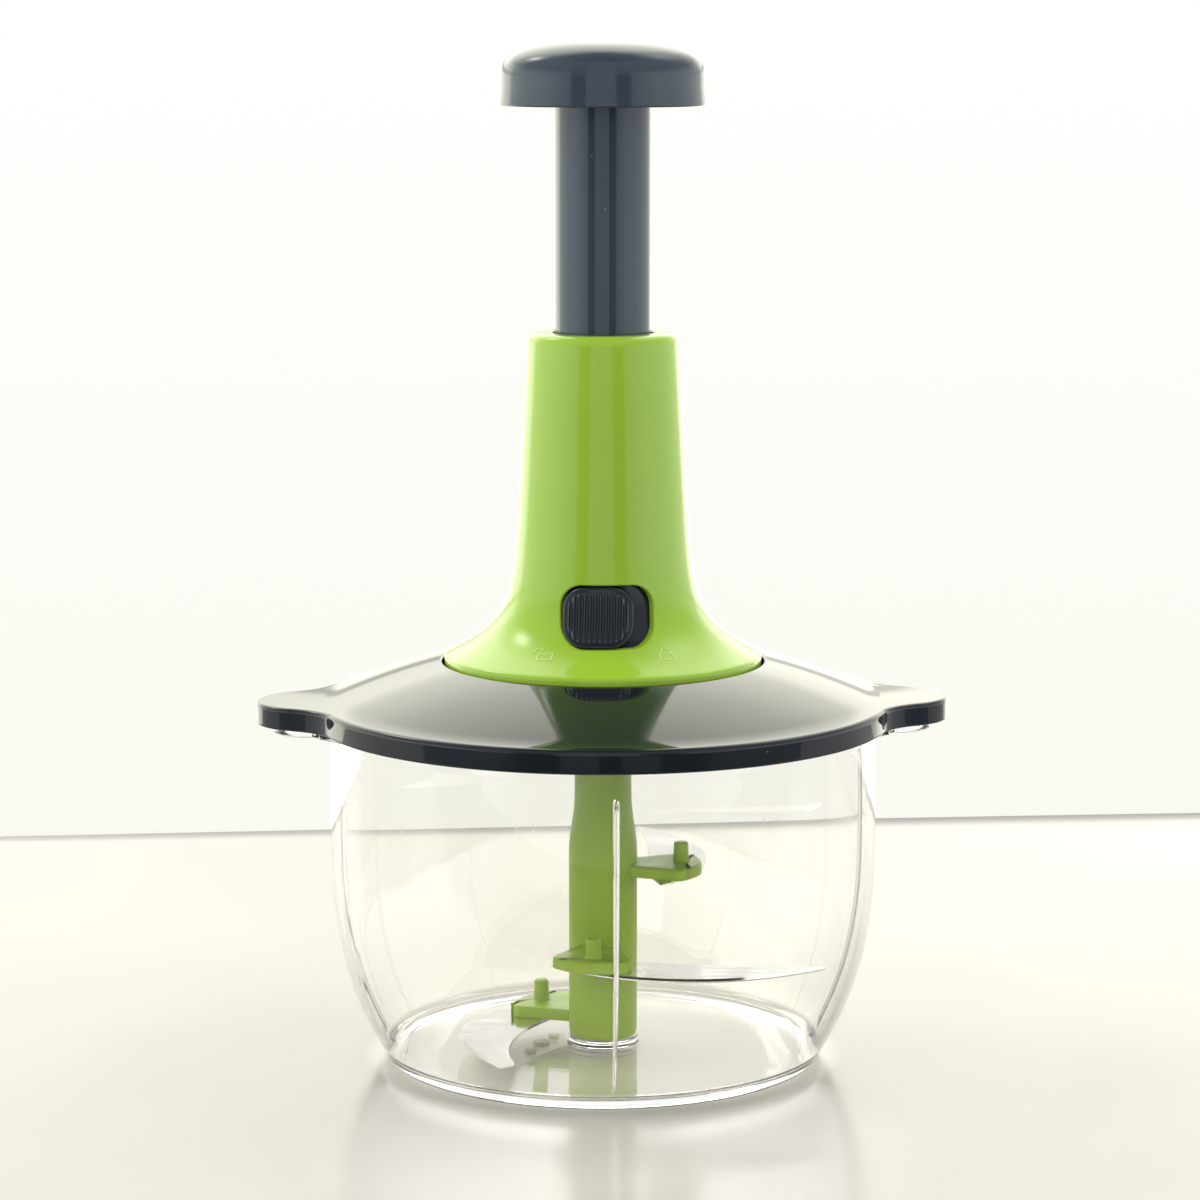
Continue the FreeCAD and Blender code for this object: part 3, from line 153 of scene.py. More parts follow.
def slab(line, low, high, edge_low, edge_high, steps=4):
    """Closed plate inside a plane line: rows of the line run from the middle of the underside
    over both rounded edges to the middle of the top. A row on an edge is the line moved in by
    radius (1 - cos t) at a height radius (1 - sin t) from the face."""
    middle = line.mean(axis=0)
    inward = -normals_of(line)
    rows = [(middle + 0 * line, low)]
    for z, sign, radius in ((low, 1, edge_low), (high, -1, edge_high)):
        t = np.linspace(0, pi / 2, steps + 1)
        edge = [(line + inward * radius * SLAB_HOLD, z)]
        edge += [(line + inward * radius * (1 - cos(k)), z + sign * radius * (1 - sin(k)))
                 for k in t[::-1]]
        rows += edge if sign > 0 else edge[::-1]
    rows.append((middle + 0 * line, high))
    return np.stack([np.column_stack([flat, np.full(len(flat), z)]) for flat, z in rows])


def grid_faces(rows, columns, wrap_rows, wrap_columns, drop=None):
    """Four-sided faces between neighbours of a grid of vertices. drop marks faces to leave out."""
    index = np.arange(rows * columns).reshape(rows, columns)
    if wrap_rows:
        index = np.vstack([index, index[:1]])
    if wrap_columns:
        index = np.hstack([index, index[:, :1]])
    faces = np.stack([index[:-1, :-1], index[:-1, 1:], index[1:, 1:], index[1:, :-1]], axis=-1)
    return faces[~drop] if drop is not None else faces.reshape(-1, 4)


def mesh_of(name, points, faces, material):
    """Mesh data from points in mm, four-sided faces and a material."""
    mesh = bpy.data.meshes.new(name)
    mesh.from_pydata(points * MM, [], faces.tolist())
    mesh.materials.append(material)
    return mesh


def placed(name, data):
    """New object of the scene that holds a mesh, a lamp or a camera."""
    thing = bpy.data.objects.new(name, data)
    scene.collection.objects.link(thing)
    return thing


def piece(name, material, body, slot, *grids, sharp=32.0, stands_for=()):
    """Object from grids given as (points, wrap rows, wrap columns, faces to drop). Vertices that
    coincide are merged, which closes poles and seams, and faces are pointed outwards."""
    points, faces, first = [], [], 0
    for grid, wrap_rows, wrap_columns, *drop in grids:
        rows, columns = grid.shape[:2]
        faces.append(first + grid_faces(rows, columns, wrap_rows, wrap_columns, *drop))
        points.append(grid.reshape(-1, 3))
        first += rows * columns
    mesh = mesh_of(name, np.vstack(points), np.vstack(faces), material)
    work = bmesh.new()
    work.from_mesh(mesh)
    bmesh.ops.remove_doubles(work, verts=work.verts, dist=WELD)
    bmesh.ops.dissolve_degenerate(work, edges=work.edges, dist=SLIVER)
    bmesh.ops.recalc_face_normals(work, faces=work.faces)
    work.to_mesh(mesh)
    work.free()
    mesh.shade_smooth()
    mesh.set_sharp_from_angle(angle=radians(sharp))
    thing = placed(name, mesh)
    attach(thing, body)
    if stands_for:
        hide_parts(*stands_for)


# ---- materials
class Nodes:
    """Shader nodes being put together in a tree. Each value may be a number or a socket."""

    def __init__(self, tree):
        self.tree = tree

    def add(self, kind, values=None, **settings):
        """Outputs of a new node of a kind, with its settings, and its inputs set or linked."""
        node = self.tree.nodes.new("ShaderNode" + kind)
        for key, value in settings.items():
            setattr(node, key, value)
        self.fill(node, values or {})
        return node.outputs

    def fill(self, node, values):
        for key, value in values.items():
            if isinstance(value, bpy.types.NodeSocket):
                self.tree.links.new(value, node.inputs[key])
            else:
                node.inputs[key].default_value = value

    def maths(self, operation, first, second=0.0):
        return self.add("Math", {0: first, 1: second}, operation=operation)[0]

    def product(self, first, second):
        return self.maths("MULTIPLY", first, second)

    def length(self, vector):
        return self.add("VectorMath", {0: vector}, operation="LENGTH")["Value"]

    def axes(self, vector):
        return self.add("SeparateXYZ", {0: vector})

    def bearing(self, x, y):
        """Angle round the Z axis, from the front and to the right, in radians."""
        return self.maths("ARCTAN2", x, self.product(y, -1.0))

    def ramp(self, value, low, high, to_low=0.0, to_high=1.0):
        """Value carried from one range to another and held inside it."""
        values = dict(enumerate((value, low, high, to_low, to_high)))
        return self.add("MapRange", values)[0]

    def curve(self, value, *points):
        """Value carried through straight pieces between points."""
        node = self.add("FloatCurve", {"Value": value})[0].node
        line = node.mapping.curves[0]
        while len(line.points) < len(points):
            line.points.new(0.5, 0.5)
        for handle, point in zip(line.points, points):
            handle.location = point
            handle.handle_type = "VECTOR"
        node.mapping.update()
        return node.outputs[0]

    def blend(self, factor, *colours):
        """Colour between two colours, each a socket or (red, green, blue)."""
        first, second = (colour if isinstance(colour, bpy.types.NodeSocket) else (*colour, 1)
                         for colour in colours)
        return self.add("Mix", {0: factor, 6: first, 7: second}, data_type="RGBA")[2]

    def either(self, factor, first, second):
        """Shader between two shaders."""
        return self.add("MixShader", {0: factor, 1: first, 2: second})[0]


class Finish(Nodes):
    """A node material being put together, around one Principled shader."""

    def __init__(self, name, **values):
        self.material = bpy.data.materials.new(name)
        self.material.use_nodes = True
        super().__init__(self.material.node_tree)
        self.surface = self.tree.nodes["Principled BSDF"]
        self.place = self.add("TexCoord")["Object"]
        self.set(**values)

    def set(self, **values):
        """Values of the shader, with _ for the spaces in their names."""
        self.fill(self.surface, {key.replace("_", " "): value for key, value in values.items()})

    def noise(self, scale, detail, stretch=(1, 1, 1)):
        """Noise over the object, in features per metre."""
        where = self.add("Mapping", {"Vector": self.place, "Scale": stretch})[0]
        return self.add("TexNoise", {"Vector": where, "Scale": scale, "Detail": detail})["Fac"]

    def patches(self, scale, detail, low, high, to_low=0.0, to_high=1.0, stretch=(1, 1, 1)):
        """Noise carried to a range and held inside it."""
        return self.ramp(self.noise(scale, detail, stretch), low, high, to_low, to_high)

    def bump(self, height, strength, depth_mm):
        """Bump of a height map, chained onto the shader's normal."""
        values = {"Height": height, "Strength": strength, "Distance": depth_mm * MM}
        for before in self.surface.inputs["Normal"].links:
            values["Normal"] = before.from_socket
        self.set(Normal=self.add("Bump", values)[0])

    def dust(self, scale, size, share):
        """Mask of fine specks: the middles of a share of the cells of a Voronoi pattern."""
        cells = self.add("TexVoronoi", {"Vector": self.place, "Scale": scale})
        pick = self.add("SeparateColor", {"Color": cells["Color"]})[0]
        return self.product(self.ramp(cells["Distance"], size, size * 0.4),
                            self.ramp(pick, 1 - share, 1 - share + 0.01))


def gloss_plastic(name, colour, shade, roughness, specks, wear=0.25):
    """Moulded gloss plastic: a slow drift of shade, faint smears in the gloss, very fine
    scuffs, the slight waviness of a moulded skin, and a few specks of dust."""
    look = Finish(name, IOR=1.5)
    mottled = look.blend(look.patches(22, 3, 0.35, 0.65), colour, shade)
    dust = look.dust(260, 0.055, specks)
    smear = look.patches(34, 4, 0.45, 0.75, 0.0, wear, (1, 1, 0.35))
    scuff = look.patches(900, 1, 0.66, 0.74, 0.0, wear, (1, 0.06, 1))
    worn = look.maths("MAXIMUM", smear, scuff)
    rough = look.ramp(worn, 0.0, 1.0, roughness, roughness + 0.3)
    look.set(Base_Color=look.blend(dust, mottled, [0.45 + 0.4 * c for c in colour]),
             Roughness=look.maths("MAXIMUM", rough, dust))
    look.bump(look.noise(70, 1), 0.10, 0.05)
    look.bump(dust, 0.4, 0.04)
    return look.material


def soft_plastic(name, colours, drift, gloss, grain, specks=None, **values):
    """Plastic or rubber that lets light a little way in: patches of two shades, patches of
    more and less gloss, a fine grain, and specks of dust where they are given."""
    look = Finish(name, **values)
    colour = look.blend(look.patches(*drift), *colours)
    if specks:
        colour = look.blend(look.dust(*specks), colour, (0.52, 0.58, 0.32))
    look.set(Base_Color=colour, Roughness=look.patches(*gloss))
    scale, detail, strength, depth = grain
    look.bump(look.noise(scale, detail), strength, depth)
    return look.material


def clear_plastic():
    """Clear polished plastic with faint smears and hairline scuffs. Shadow rays pass it, so
    that it throws the pale shadow of clear plastic."""
    look = Finish("clear_plastic", IOR=1.49, Transmission_Weight=1.0,
                  Base_Color=(0.992, 0.986, 0.966, 1))
    smear = look.patches(18, 4, 0.5, 0.8, 0.0, 0.05, (1, 1, 0.4))
    scuff = look.patches(700, 1, 0.70, 0.78, 0.0, 0.10, (1, 1, 0.03))
    look.set(Roughness=look.maths("ADD", smear, scuff))
    look.bump(look.noise(45, 1), 0.06, 0.05)
    shadow = look.add("LightPath")["Is Shadow Ray"]
    through = look.add("BsdfTransparent", {"Color": (0.975, 0.972, 0.96, 1)})[0]
    whole = look.either(shadow, look.surface.outputs[0], through)
    look.fill(look.tree.nodes["Material Output"], {"Surface": whole})
    return look.material


def bright_steel():
    """Rolled stainless steel: fine grain along one direction, soft smears, small scratches."""
    look = Finish("bright_steel", Metallic=1.0, Base_Color=(0.83, 0.82, 0.78, 1))
    grain = look.noise(900, 2, (0.04, 1, 1))
    smear = look.noise(60, 3)
    tone = look.ramp(smear, 0.3, 0.7)
    look.set(Base_Color=look.blend(tone, (0.80, 0.79, 0.75), (0.86, 0.85, 0.81)),
             Roughness=look.ramp(look.product(grain, smear), 0.1, 0.4, 0.06, 0.16))
    look.bump(grain, 0.12, 0.02)
    return look.material


clear = clear_plastic()
dark = gloss_plastic("slate_gloss", (0.037, 0.053, 0.069), (0.041, 0.058, 0.075), 0.03, 0.035)
# the lid gets a darker copy of the slate gloss that the knob and tube have
lid_dark = gloss_plastic("lid_gloss", (0.009, 0.013, 0.016), (0.012, 0.016, 0.020), 0.035, 0.02)
grip_dark = gloss_plastic("slate_satin", (0.010, 0.014, 0.020), (0.013, 0.018, 0.025), 0.10, 0.02)
green = gloss_plastic("lime_gloss", (0.318, 0.522, 0.036), (0.338, 0.547, 0.042), 0.05, 0.008, 0.15)
# painted light: the padlock marks get a paler copy of the housing's green so that the raised lines
# read light
mark_green_painted_light = gloss_plastic("lime_mark_painted_light", (0.46, 0.66, 0.14), (0.50, 0.70, 0.16), 0.25, 0.0, 0.15)
satin_green = soft_plastic(
    "shaft_green", ((0.258, 0.392, 0.022), (0.300, 0.437, 0.038)),
    (60, 4, 0.35, 0.7, 0.0, 1.0, (1, 1, 0.3)), (140, 3, 0.3, 0.7, 0.34, 0.50),
    (330, 3, 0.25, 0.06), (420, 0.09, 0.10),
    IOR=1.47, Subsurface_Weight=0.25, Subsurface_Scale=0.004, Subsurface_Radius=(0.8, 1.0, 0.25))
acetal = soft_plastic(
    "pale_acetal", ((0.76, 0.75, 0.69), (0.83, 0.82, 0.77)), (80, 3, 0.35, 0.65),
    (300, 2, 0.3, 0.7, 0.30, 0.42), (500, 2, 0.15, 0.03),
    IOR=1.48, Subsurface_Weight=0.15, Subsurface_Scale=0.003)
silicone = soft_plastic(
    "seal_silicone", ((0.62, 0.62, 0.58), (0.74, 0.74, 0.70)), (120, 4, 0.4, 0.7),
    (120, 4, 0.4, 0.7, 0.45, 0.65), (600, 2, 0.2, 0.03),
    IOR=1.41, Subsurface_Weight=0.3, Subsurface_Scale=0.003)
steel = bright_steel()


# ---- ears of lid and bowl
LID_RADIUS = highest("lid")[1]
EAR_TIP = highest("lid")[0]
TIP_RADIUS = 17.0
EAR_FILLET = 20.0
EAR_HALF = 0.36  # half the angle that an ear takes up


def eared(angle, inset=0.0):
    """Distance from the axis to the outline of a disc with an ear at +X and -X, moved in by
    inset. By direction it is the disc, the hollow arc of a fillet, d cos(a - f) less
    sqrt(q^2 - d^2 sin^2(a - f)), or the arc of the ear's tip, c cos a + sqrt(t^2 - c^2 sin^2 a)."""
    disc, tip = LID_RADIUS - inset, TIP_RADIUS - inset
    fillet, c = EAR_FILLET + inset, EAR_TIP - TIP_RADIUS
    d, to_tip = LID_RADIUS + EAR_FILLET, TIP_RADIUS + EAR_FILLET
    x = (d * d + c * c - to_tip * to_tip) / (2 * c)
    y = sqrt(d * d - x * x)
    f = atan2(y, x)
    joint = atan2(y * TIP_RADIUS / to_tip, c + (x - c) * TIP_RADIUS / to_tip)
    a = np.arccos(np.minimum(np.abs(np.cos(angle)), 1.0))
    hollow = d * np.cos(a - f) - np.sqrt(np.maximum(fillet ** 2 - (d * np.sin(a - f)) ** 2, 0))
    end = c * np.cos(a) + np.sqrt(np.maximum(tip ** 2 - (c * np.sin(a)) ** 2, 0))
    return np.where(a > f, disc, np.where(a > joint, hollow, end))


# ---- bowl
BOWL_TOP = highest("bowl")[2]
BOWL_WIDEST = (81.0, 67.0)  # radius, level
BOWL_FOOT = 64.0
BOWL_RIM = 80.2
FOOT_LEVEL = 2.2  # where the foot's rounding starts
BOWL_WALL = 2.5
FLOOR_UNDER, FLOOR_TOP = 0.8, 3.2
BOSS = (10.4, 5.4)  # radius, top
PIN = 2.56
RIB_DEPTH = 1.4
RIB_TOP = BOWL_TOP - 12.0
RIB_WIDTH = (0.9, 1.6)  # at the floor, at the top
RIB_HALF = 1.6 / 70  # half the angle that a rib takes up
EAR_UNDER, EAR_TOP = 98.2, 100.6
EAR_ROW = 100.0  # radius in the profile that stands for the ear's outline


def bowl_radius(z):
    """Outside of the bowl: R - (R - foot) ((h - z) / h)^2.6 below its widest level h, and a
    parabola in to the rim above it."""
    radius, level = BOWL_WIDEST
    below = held((level - z) / level) ** 2.6
    above = held((z - level) / (BOWL_TOP - level)) ** 2
    return radius - (radius - BOWL_FOOT) * below - (radius - BOWL_RIM) * above


def bowl_reach(r, z, a):
    """Radius of a point of the bowl: an ear's rows follow the eared outline, and the inner wall
    comes in by the depth of a rib, a smooth ridge across each quarter direction."""
    wall = bowl_radius(z)
    ear = np.maximum(eared(a, LID_RADIUS - BOWL_RIM + (EAR_ROW - r)), wall + 0.05)
    across = np.abs((a + pi / 4) % (pi / 2) - pi / 4) * r
    height = held((z - FLOOR_TOP) / (RIB_TOP - FLOOR_TOP))
    half = 0.6 * (RIB_WIDTH[0] + (RIB_WIDTH[1] - RIB_WIDTH[0]) * height)
    ridge = np.cos(held(across / half) * pi / 2) ** 2
    ends = held((RIB_TOP - z) / 3.5) * held((z - FLOOR_TOP) / 0.8)
    inner = (r < wall - BOWL_WALL + 0.3) & (r > BOWL_FOOT - 5) & (z > FLOOR_TOP)
    return np.where(r > EAR_ROW - 10, ear, r - RIB_DEPTH * ridge * ends * inner)


def bowl_piece():
    heights = np.linspace(2.4, EAR_UNDER - 0.8, 44)
    outer = joined(bowl_radius(heights), heights)
    down = np.concatenate([np.linspace(BOWL_TOP - 1.2, RIB_TOP + 0.1, 7),
                           np.linspace(RIB_TOP, RIB_TOP - 3.5, 10),
                           np.linspace(RIB_TOP - 4.3, FLOOR_TOP + 4.2, 42)])
    inner = joined(bowl_radius(down) - BOWL_WALL, down)
    foot = bowl_radius(FOOT_LEVEL)
    ring = foot - FOOT_LEVEL - 4
    start = inner[-1][0]
    bend = rounded(inner[-2], (start - 1.6, FLOOR_TOP, 4.0), (start - 12, FLOOR_TOP), steps=10)
    profile = np.vstack([
        rounded((0, FLOOR_UNDER), (ring, FLOOR_UNDER, 0.3), (ring, 0, 0.6), (foot - 0.9, 0, 1.9),
                outer[0]),
        outer[1:],
        [(bowl_radius(EAR_UNDER) - 0.02, EAR_UNDER), (EAR_ROW - 0.6, EAR_UNDER),
         (EAR_ROW - 0.2, EAR_UNDER + 0.12), (EAR_ROW, EAR_UNDER + 0.5),
         (EAR_ROW, EAR_TOP - 0.5), (EAR_ROW - 0.2, EAR_TOP - 0.12), (EAR_ROW - 0.6, EAR_TOP)],
        rounded((bowl_radius(EAR_TOP), EAR_TOP), (bowl_radius(BOWL_TOP), BOWL_TOP, 0.7),
                (bowl_radius(BOWL_TOP) - BOWL_WALL, BOWL_TOP, 0.7), inner[0]),
        inner[1:-1], bend[1:],
        rounded((BOSS[0] + 3, FLOOR_TOP), (BOSS[0], FLOOR_TOP, 0.5), (BOSS[0], BOSS[1], 0.5),
                (PIN, BOSS[1], 0.2), (PIN, FLOOR_TOP), (0, FLOOR_TOP)),
    ])
    ribs = [(k * pi / 2, RIB_HALF, 33) for k in range(4)]
    angles = directions(224, *both_sides(EAR_HALF, 60), *ribs)
    piece("bowl_clear", clear, "bowl", "clear_plastic",
          (turned(profile, angles, bowl_reach), False, True), sharp=60, stands_for=["bowl"])


# ---- lid
RIM_TOP = 107.6
RIM_UNDER = 100.9
UNDERSIDE = BOWL_TOP + 0.3
LID_WALL = 2.3
RIM_EDGE = 1.25
DOME_FOOT = 82.5
EARS_FROM = DOME_FOOT + 0.05  # radius from which the rows follow the eared outline
DOME_TURN = 78.2  # where the dome starts to run out
DOME_BULGE = 0.8
DOME_TOP = highest("lid")[2] + 0.1
HEAD_HOLE = 47.6
WELL_OUTER = 50.0
WELL_TOP, WELL_UNDER = 105.5, 103.0
WELL_HOLE = 15.6
PLUG = (73.8, 76.6, 99.9)  # inner radius, outer radius, lower edge
GROOVE = (75.4, 101.2, 104.4)  # radius, lower edge, upper edge


def dome(r):
    """Height of the dome. From its edge it is a straight slope with a bulge 4 b s (1 - s), and
    below r1 a parabola h (r0 - r)^2 / (r0 - r1)^2 that runs out level on the rim."""
    def form(r):
        part = (DOME_FOOT - r) / (DOME_FOOT - HEAD_HOLE)
        return (DOME_TOP - RIM_TOP) * part + 4 * DOME_BULGE * part * (1 - part)

    rise = form(DOME_TURN)
    run = 2 * rise / ((form(DOME_TURN - 0.01) - form(DOME_TURN + 0.01)) / 0.02)
    level = np.maximum((DOME_TURN + run - r) / run, 0)
    return RIM_TOP + np.where(r < DOME_TURN, form(r), rise * level ** 2)


def lid_grid(profile, angles):
    """Rows outside the dome's foot follow the eared outline, moved in by what they lack of the
    lid's radius. Where they lie over the dome's run-out they rise with it."""
    def reach(r, z, a):
        return np.where(r > EARS_FROM, eared(a, LID_RADIUS - r), r)

    grid = turned(profile, angles, reach)
    radius = np.hypot(grid[..., 0], grid[..., 1])
    part = held((grid[..., 2] - RIM_TOP + RIM_EDGE) / RIM_EDGE)
    grid[..., 2] += (profile[:, :1] > EARS_FROM) * part * (dome(radius) - RIM_TOP)
    return grid


def lid_piece():
    top = np.append(np.linspace(DOME_FOOT, DOME_TURN, 9)[:-1],
                    np.linspace(DOME_TURN, HEAD_HOLE + 1.0, 18))
    under = np.linspace(WELL_OUTER, PLUG[0], 14)
    rim = rounded((LID_RADIUS - LID_WALL, UNDERSIDE), (LID_RADIUS - LID_WALL, RIM_UNDER, 0.7),
                  (LID_RADIUS, RIM_UNDER, 0.7), (LID_RADIUS, RIM_TOP, RIM_EDGE),
                  (DOME_FOOT + 0.9, RIM_TOP))
    profile = np.vstack([
        [(PLUG[1], UNDERSIDE)], rim,
        joined(top, dome(top)),
        rounded((HEAD_HOLE + 0.8, dome(HEAD_HOLE + 0.8)), (HEAD_HOLE, dome(HEAD_HOLE), 0.6),
                (HEAD_HOLE, WELL_TOP, 0.3), (WELL_HOLE, WELL_TOP, 0.2),
                (WELL_HOLE, WELL_UNDER, 0.2), (WELL_OUTER, WELL_UNDER, 0.6),
                (WELL_OUTER, WELL_UNDER + 2)),
        joined(under, dome(under) - LID_WALL * 1.05),
        rounded((PLUG[0], UNDERSIDE), (PLUG[0], PLUG[2], 0.5), (PLUG[1], PLUG[2], 0.5),
                (PLUG[1], GROOVE[1], 0.1), (GROOVE[0], GROOVE[1], 0.1),
                (GROOVE[0], GROOVE[2], 0.1), (PLUG[1], GROOVE[2], 0.1), (PLUG[1], UNDERSIDE)),
    ])
    piece("lid_gloss", lid_dark, "head", "dark_plastic",
          (lid_grid(profile, directions(300, *both_sides(EAR_HALF, 90))), True, True),
          stands_for=["lid"])


# ---- pump housing
PUMP_TOP = highest("housing")[2]
PUMP_FOOT = lowest("housing")[2]
COLLAR_RADIUS = 22.0
FLARE_EDGE = (46.9, 120.8)  # radius, level
PUMP_TAPER = 0.0553
PUMP_WALL = 2.3
FLARE = (8.3, 1.12)  # length, power
COLLAR_HOLE = 15.0
BUSH_SEAT = (19.7, 191.8, 213.3)  # radius, lower and upper level
WINDOW = (27.0, 17.2, 6.4, 136.2)  # width, height, corner radius, middle level
WINDOW_FIELD = (0.62, 124.6, 149.0)  # half angle, low and high level of the patch round it
LIP = 0.45  # radius of the window's edge
RAIL = (16.2, 3.0)  # distance, width
SCREW_CIRCLE = 36.0
SCREW_BOSS = (3.8, 1.56, 13.0, 8.8)  # radius, radius of its hole, height of each
STEEPEST = 1.6  # largest squared slope that the wall's thickness follows


def skin(z):
    """Outside of the housing: a straight taper plus a flare, A exp(-((z - foot) / 8.3)^1.12)."""
    taper = COLLAR_RADIUS + PUMP_TAPER * (PUMP_TOP - z)
    flare = FLARE_EDGE[0] - COLLAR_RADIUS - PUMP_TAPER * (PUMP_TOP - FLARE_EDGE[1])
    height = np.maximum(z - FLARE_EDGE[1], 0) / FLARE[0]
    return taper + flare * np.exp(-height ** FLARE[1])


def skin_slope(z, step=0.05):
    """Change of the radius over a short way up the housing, divided by that way."""
    return (skin(z + step) - skin(z - step)) / (2 * step)


def under_skin(z, depth):
    """Radius at a level of the surface that lies at a depth under the housing's skin: the
    skin's radius less depth sqrt(1 + slope^2)."""
    slope = np.where(z < FLARE_EDGE[1], -1.0, skin_slope(z))
    return skin(z) - depth * np.sqrt(1 + np.minimum(slope ** 2, STEEPEST))


def housing_reach(r, z, a):
    """The inner wall's rows come in to the rails at +X and -X."""
    across = np.abs(np.sin(a)) * r
    inside = r < under_skin(z, PUMP_WALL) + 0.02
    between = (z > FLARE_EDGE[1] + 0.2) & (z < BUSH_SEAT[1] - 0.2)
    return np.where(inside & between & (across < RAIL[1] / 2), RAIL[0], r)


def window_loop(outset, count_side, count_end):
    """Closed line of the window moved out by outset, as (x, z), with as many points on each
    side as the patch's border has: each side takes half of the arcs at its ends."""
    half_width, half_height = WINDOW[0] / 2 + outset, WINDOW[1] / 2 + outset
    radius = WINDOW[2] + outset

    def side(run, count):
        """Way along a side and drop away from it, evenly spaced from arc to arc."""
        s = np.linspace(0, run + radius * pi / 4, count // 2 + 1)
        turn = np.maximum(s - run, 0) / radius
        along = np.minimum(s, run) + radius * np.sin(turn)
        drop = radius * (1 - np.cos(turn))
        return np.append(-along[:0:-1], along), np.append(drop[:0:-1], drop)

    x, drop = side(half_width - radius, count_side)
    z, cut = side(half_height - radius, count_end)
    return np.vstack([joined(*edge)[:-1] for edge in (
        (x, drop - half_height), (half_width - cut, z), (-x, half_height - drop),
        (cut - half_width, -z))])


def window_patch(angles, levels):
    """Rings round the window. The first lies on the border of the patch on the skin, the next
    run in to the window's lip, over it, and out again under the skin. Between the border B and
    the lip L a ring is B + (L - B) t in angle and level, with t closer together at the lip."""
    count_side, count_end = len(angles) - 1, len(levels) - 1
    border = np.vstack([
        joined(angles[:-1], levels[0]), joined(angles[-1], levels[:-1]),
        joined(angles[:0:-1], levels[-1]), joined(angles[0], levels[:0:-1])])

    def ring(flat, radius_of):
        a, z = flat.T
        return polar(radius_of(z), a, z)

    def lip(outset):
        x, z = window_loop(outset, count_side, count_end).T
        z = z + WINDOW[3]
        return joined(FRONT + np.arcsin(x / skin(z)), z)

    steps = 1 - np.linspace(1, 0, 9)[:, None, None] ** 1.6
    rings = [ring(flat, skin) for flat in border + (lip(LIP) - border) * steps]
    for turn in np.linspace(0, pi / 2, 5)[1:]:
        depth = LIP * (1 - cos(turn))
        rings.append(ring(lip(LIP * (1 - sin(turn))), lambda z, d=depth: skin(z) - d))
    rings += [ring(flat, lambda z: under_skin(z, PUMP_WALL))
              for flat in lip(0.0) + (border - lip(0.0)) * steps[::2] ** 1.5]
    return np.stack(rings)


def housing_piece():
    outer_levels = np.unique(np.concatenate([
        np.linspace(FLARE_EDGE[1] + 0.5, WINDOW_FIELD[1], 10),
        np.linspace(WINDOW_FIELD[1], WINDOW_FIELD[2], 31),
        np.linspace(WINDOW_FIELD[2], PUMP_TOP - 3.4, 24)]))
    half, low, high = WINDOW_FIELD
    wall_levels = np.append(outer_levels[outer_levels < BUSH_SEAT[1] - 2], BUSH_SEAT[1] - 0.05)
    outer = joined(skin(outer_levels), outer_levels)
    inner = joined(under_skin(wall_levels, PUMP_WALL), wall_levels)[::-1]
    head = rounded(outer[-1], (COLLAR_RADIUS + 0.1, PUMP_TOP, 2.9), (COLLAR_HOLE, PUMP_TOP, 0.5),
                   (COLLAR_HOLE, BUSH_SEAT[2], 0.1), (BUSH_SEAT[0], BUSH_SEAT[2], 0.1),
                   (BUSH_SEAT[0], BUSH_SEAT[1], 0.1), inner[0], steps=8)
    edge, within = FLARE_EDGE[0], FLARE_EDGE[0] - PUMP_WALL
    foot = rounded(inner[-1], (within, FLARE_EDGE[1] - 1.8, 0.8), (within, PUMP_FOOT, 0.2),
                   (edge, PUMP_FOOT, 0.2), (edge, FLARE_EDGE[1], 1.4), outer[0])
    profile = np.vstack([outer, head[1:-1], inner, foot[1:-1]])
    window_angles = FRONT + np.linspace(-half, half, 49)
    rest = np.linspace(FRONT + half, FRONT - half + TURN, 220)[1:-1]
    angles = np.unique(np.append(window_angles, rest))

    def in_field(first, second, start, end):
        """Whether all between two values lies in a range."""
        return (np.minimum(first, second) > start - 1e-6) & (np.maximum(first, second) < end + 1e-6)

    column = np.append(in_field(angles[:-1], angles[1:], FRONT - half, FRONT + half), False)
    row = in_field(profile[:, 1], np.roll(profile[:, 1], -1), low, high)
    grid = turned(profile, angles, housing_reach)
    levels = outer_levels[in_field(outer_levels, outer_levels, low, high)]
    patch = window_patch(window_angles, levels)
    radius, hole, ceiling, depth = SCREW_BOSS
    boss = rounded((radius, PUMP_FOOT + ceiling), (radius, PUMP_FOOT, 0.2), (hole, PUMP_FOOT, 0.2),
                   (hole, PUMP_FOOT + depth), (0, PUMP_FOOT + depth))
    boss = turned(boss, directions(32))
    bosses = [(moved(boss, SCREW_CIRCLE * cos(at), SCREW_CIRCLE * sin(at)), False, True)
              for at in np.radians((90, 210, 330))]
    piece("housing_gloss", green, "head", "green_plastic",
          (grid, True, True, row[:, None] & column[None]), (patch, False, True), *bosses,
          sharp=40, stands_for=["housing"])


# ---- padlock marks
def ridge(line, width, height, middle, level):
    """Rounded ridge along a line (u, v) drawn on the housing's skin, u to the right and v up
    the slope, in mm from the place at angle middle and level. Across it, offset w cos t and
    height h sin t."""
    t = np.linspace(-0.35, pi + 0.35, 8)[:, None]
    along = np.gradient(line, axis=0)
    across = joined(along[:, 1], -along[:, 0])
    across /= np.linalg.norm(across, axis=1, keepdims=True)
    flat = line[None] + across[None] * (width / 2 * np.cos(t))[..., None]
    z = level + flat[..., 1] / sqrt(1 + skin_slope(level, 0.5) ** 2)
    a = middle + flat[..., 0] / skin(level)
    slope = skin_slope(z)
    lift = height * np.sin(t) / np.sqrt(1 + slope ** 2)
    return polar(skin(z) + lift, a, z - lift * slope)


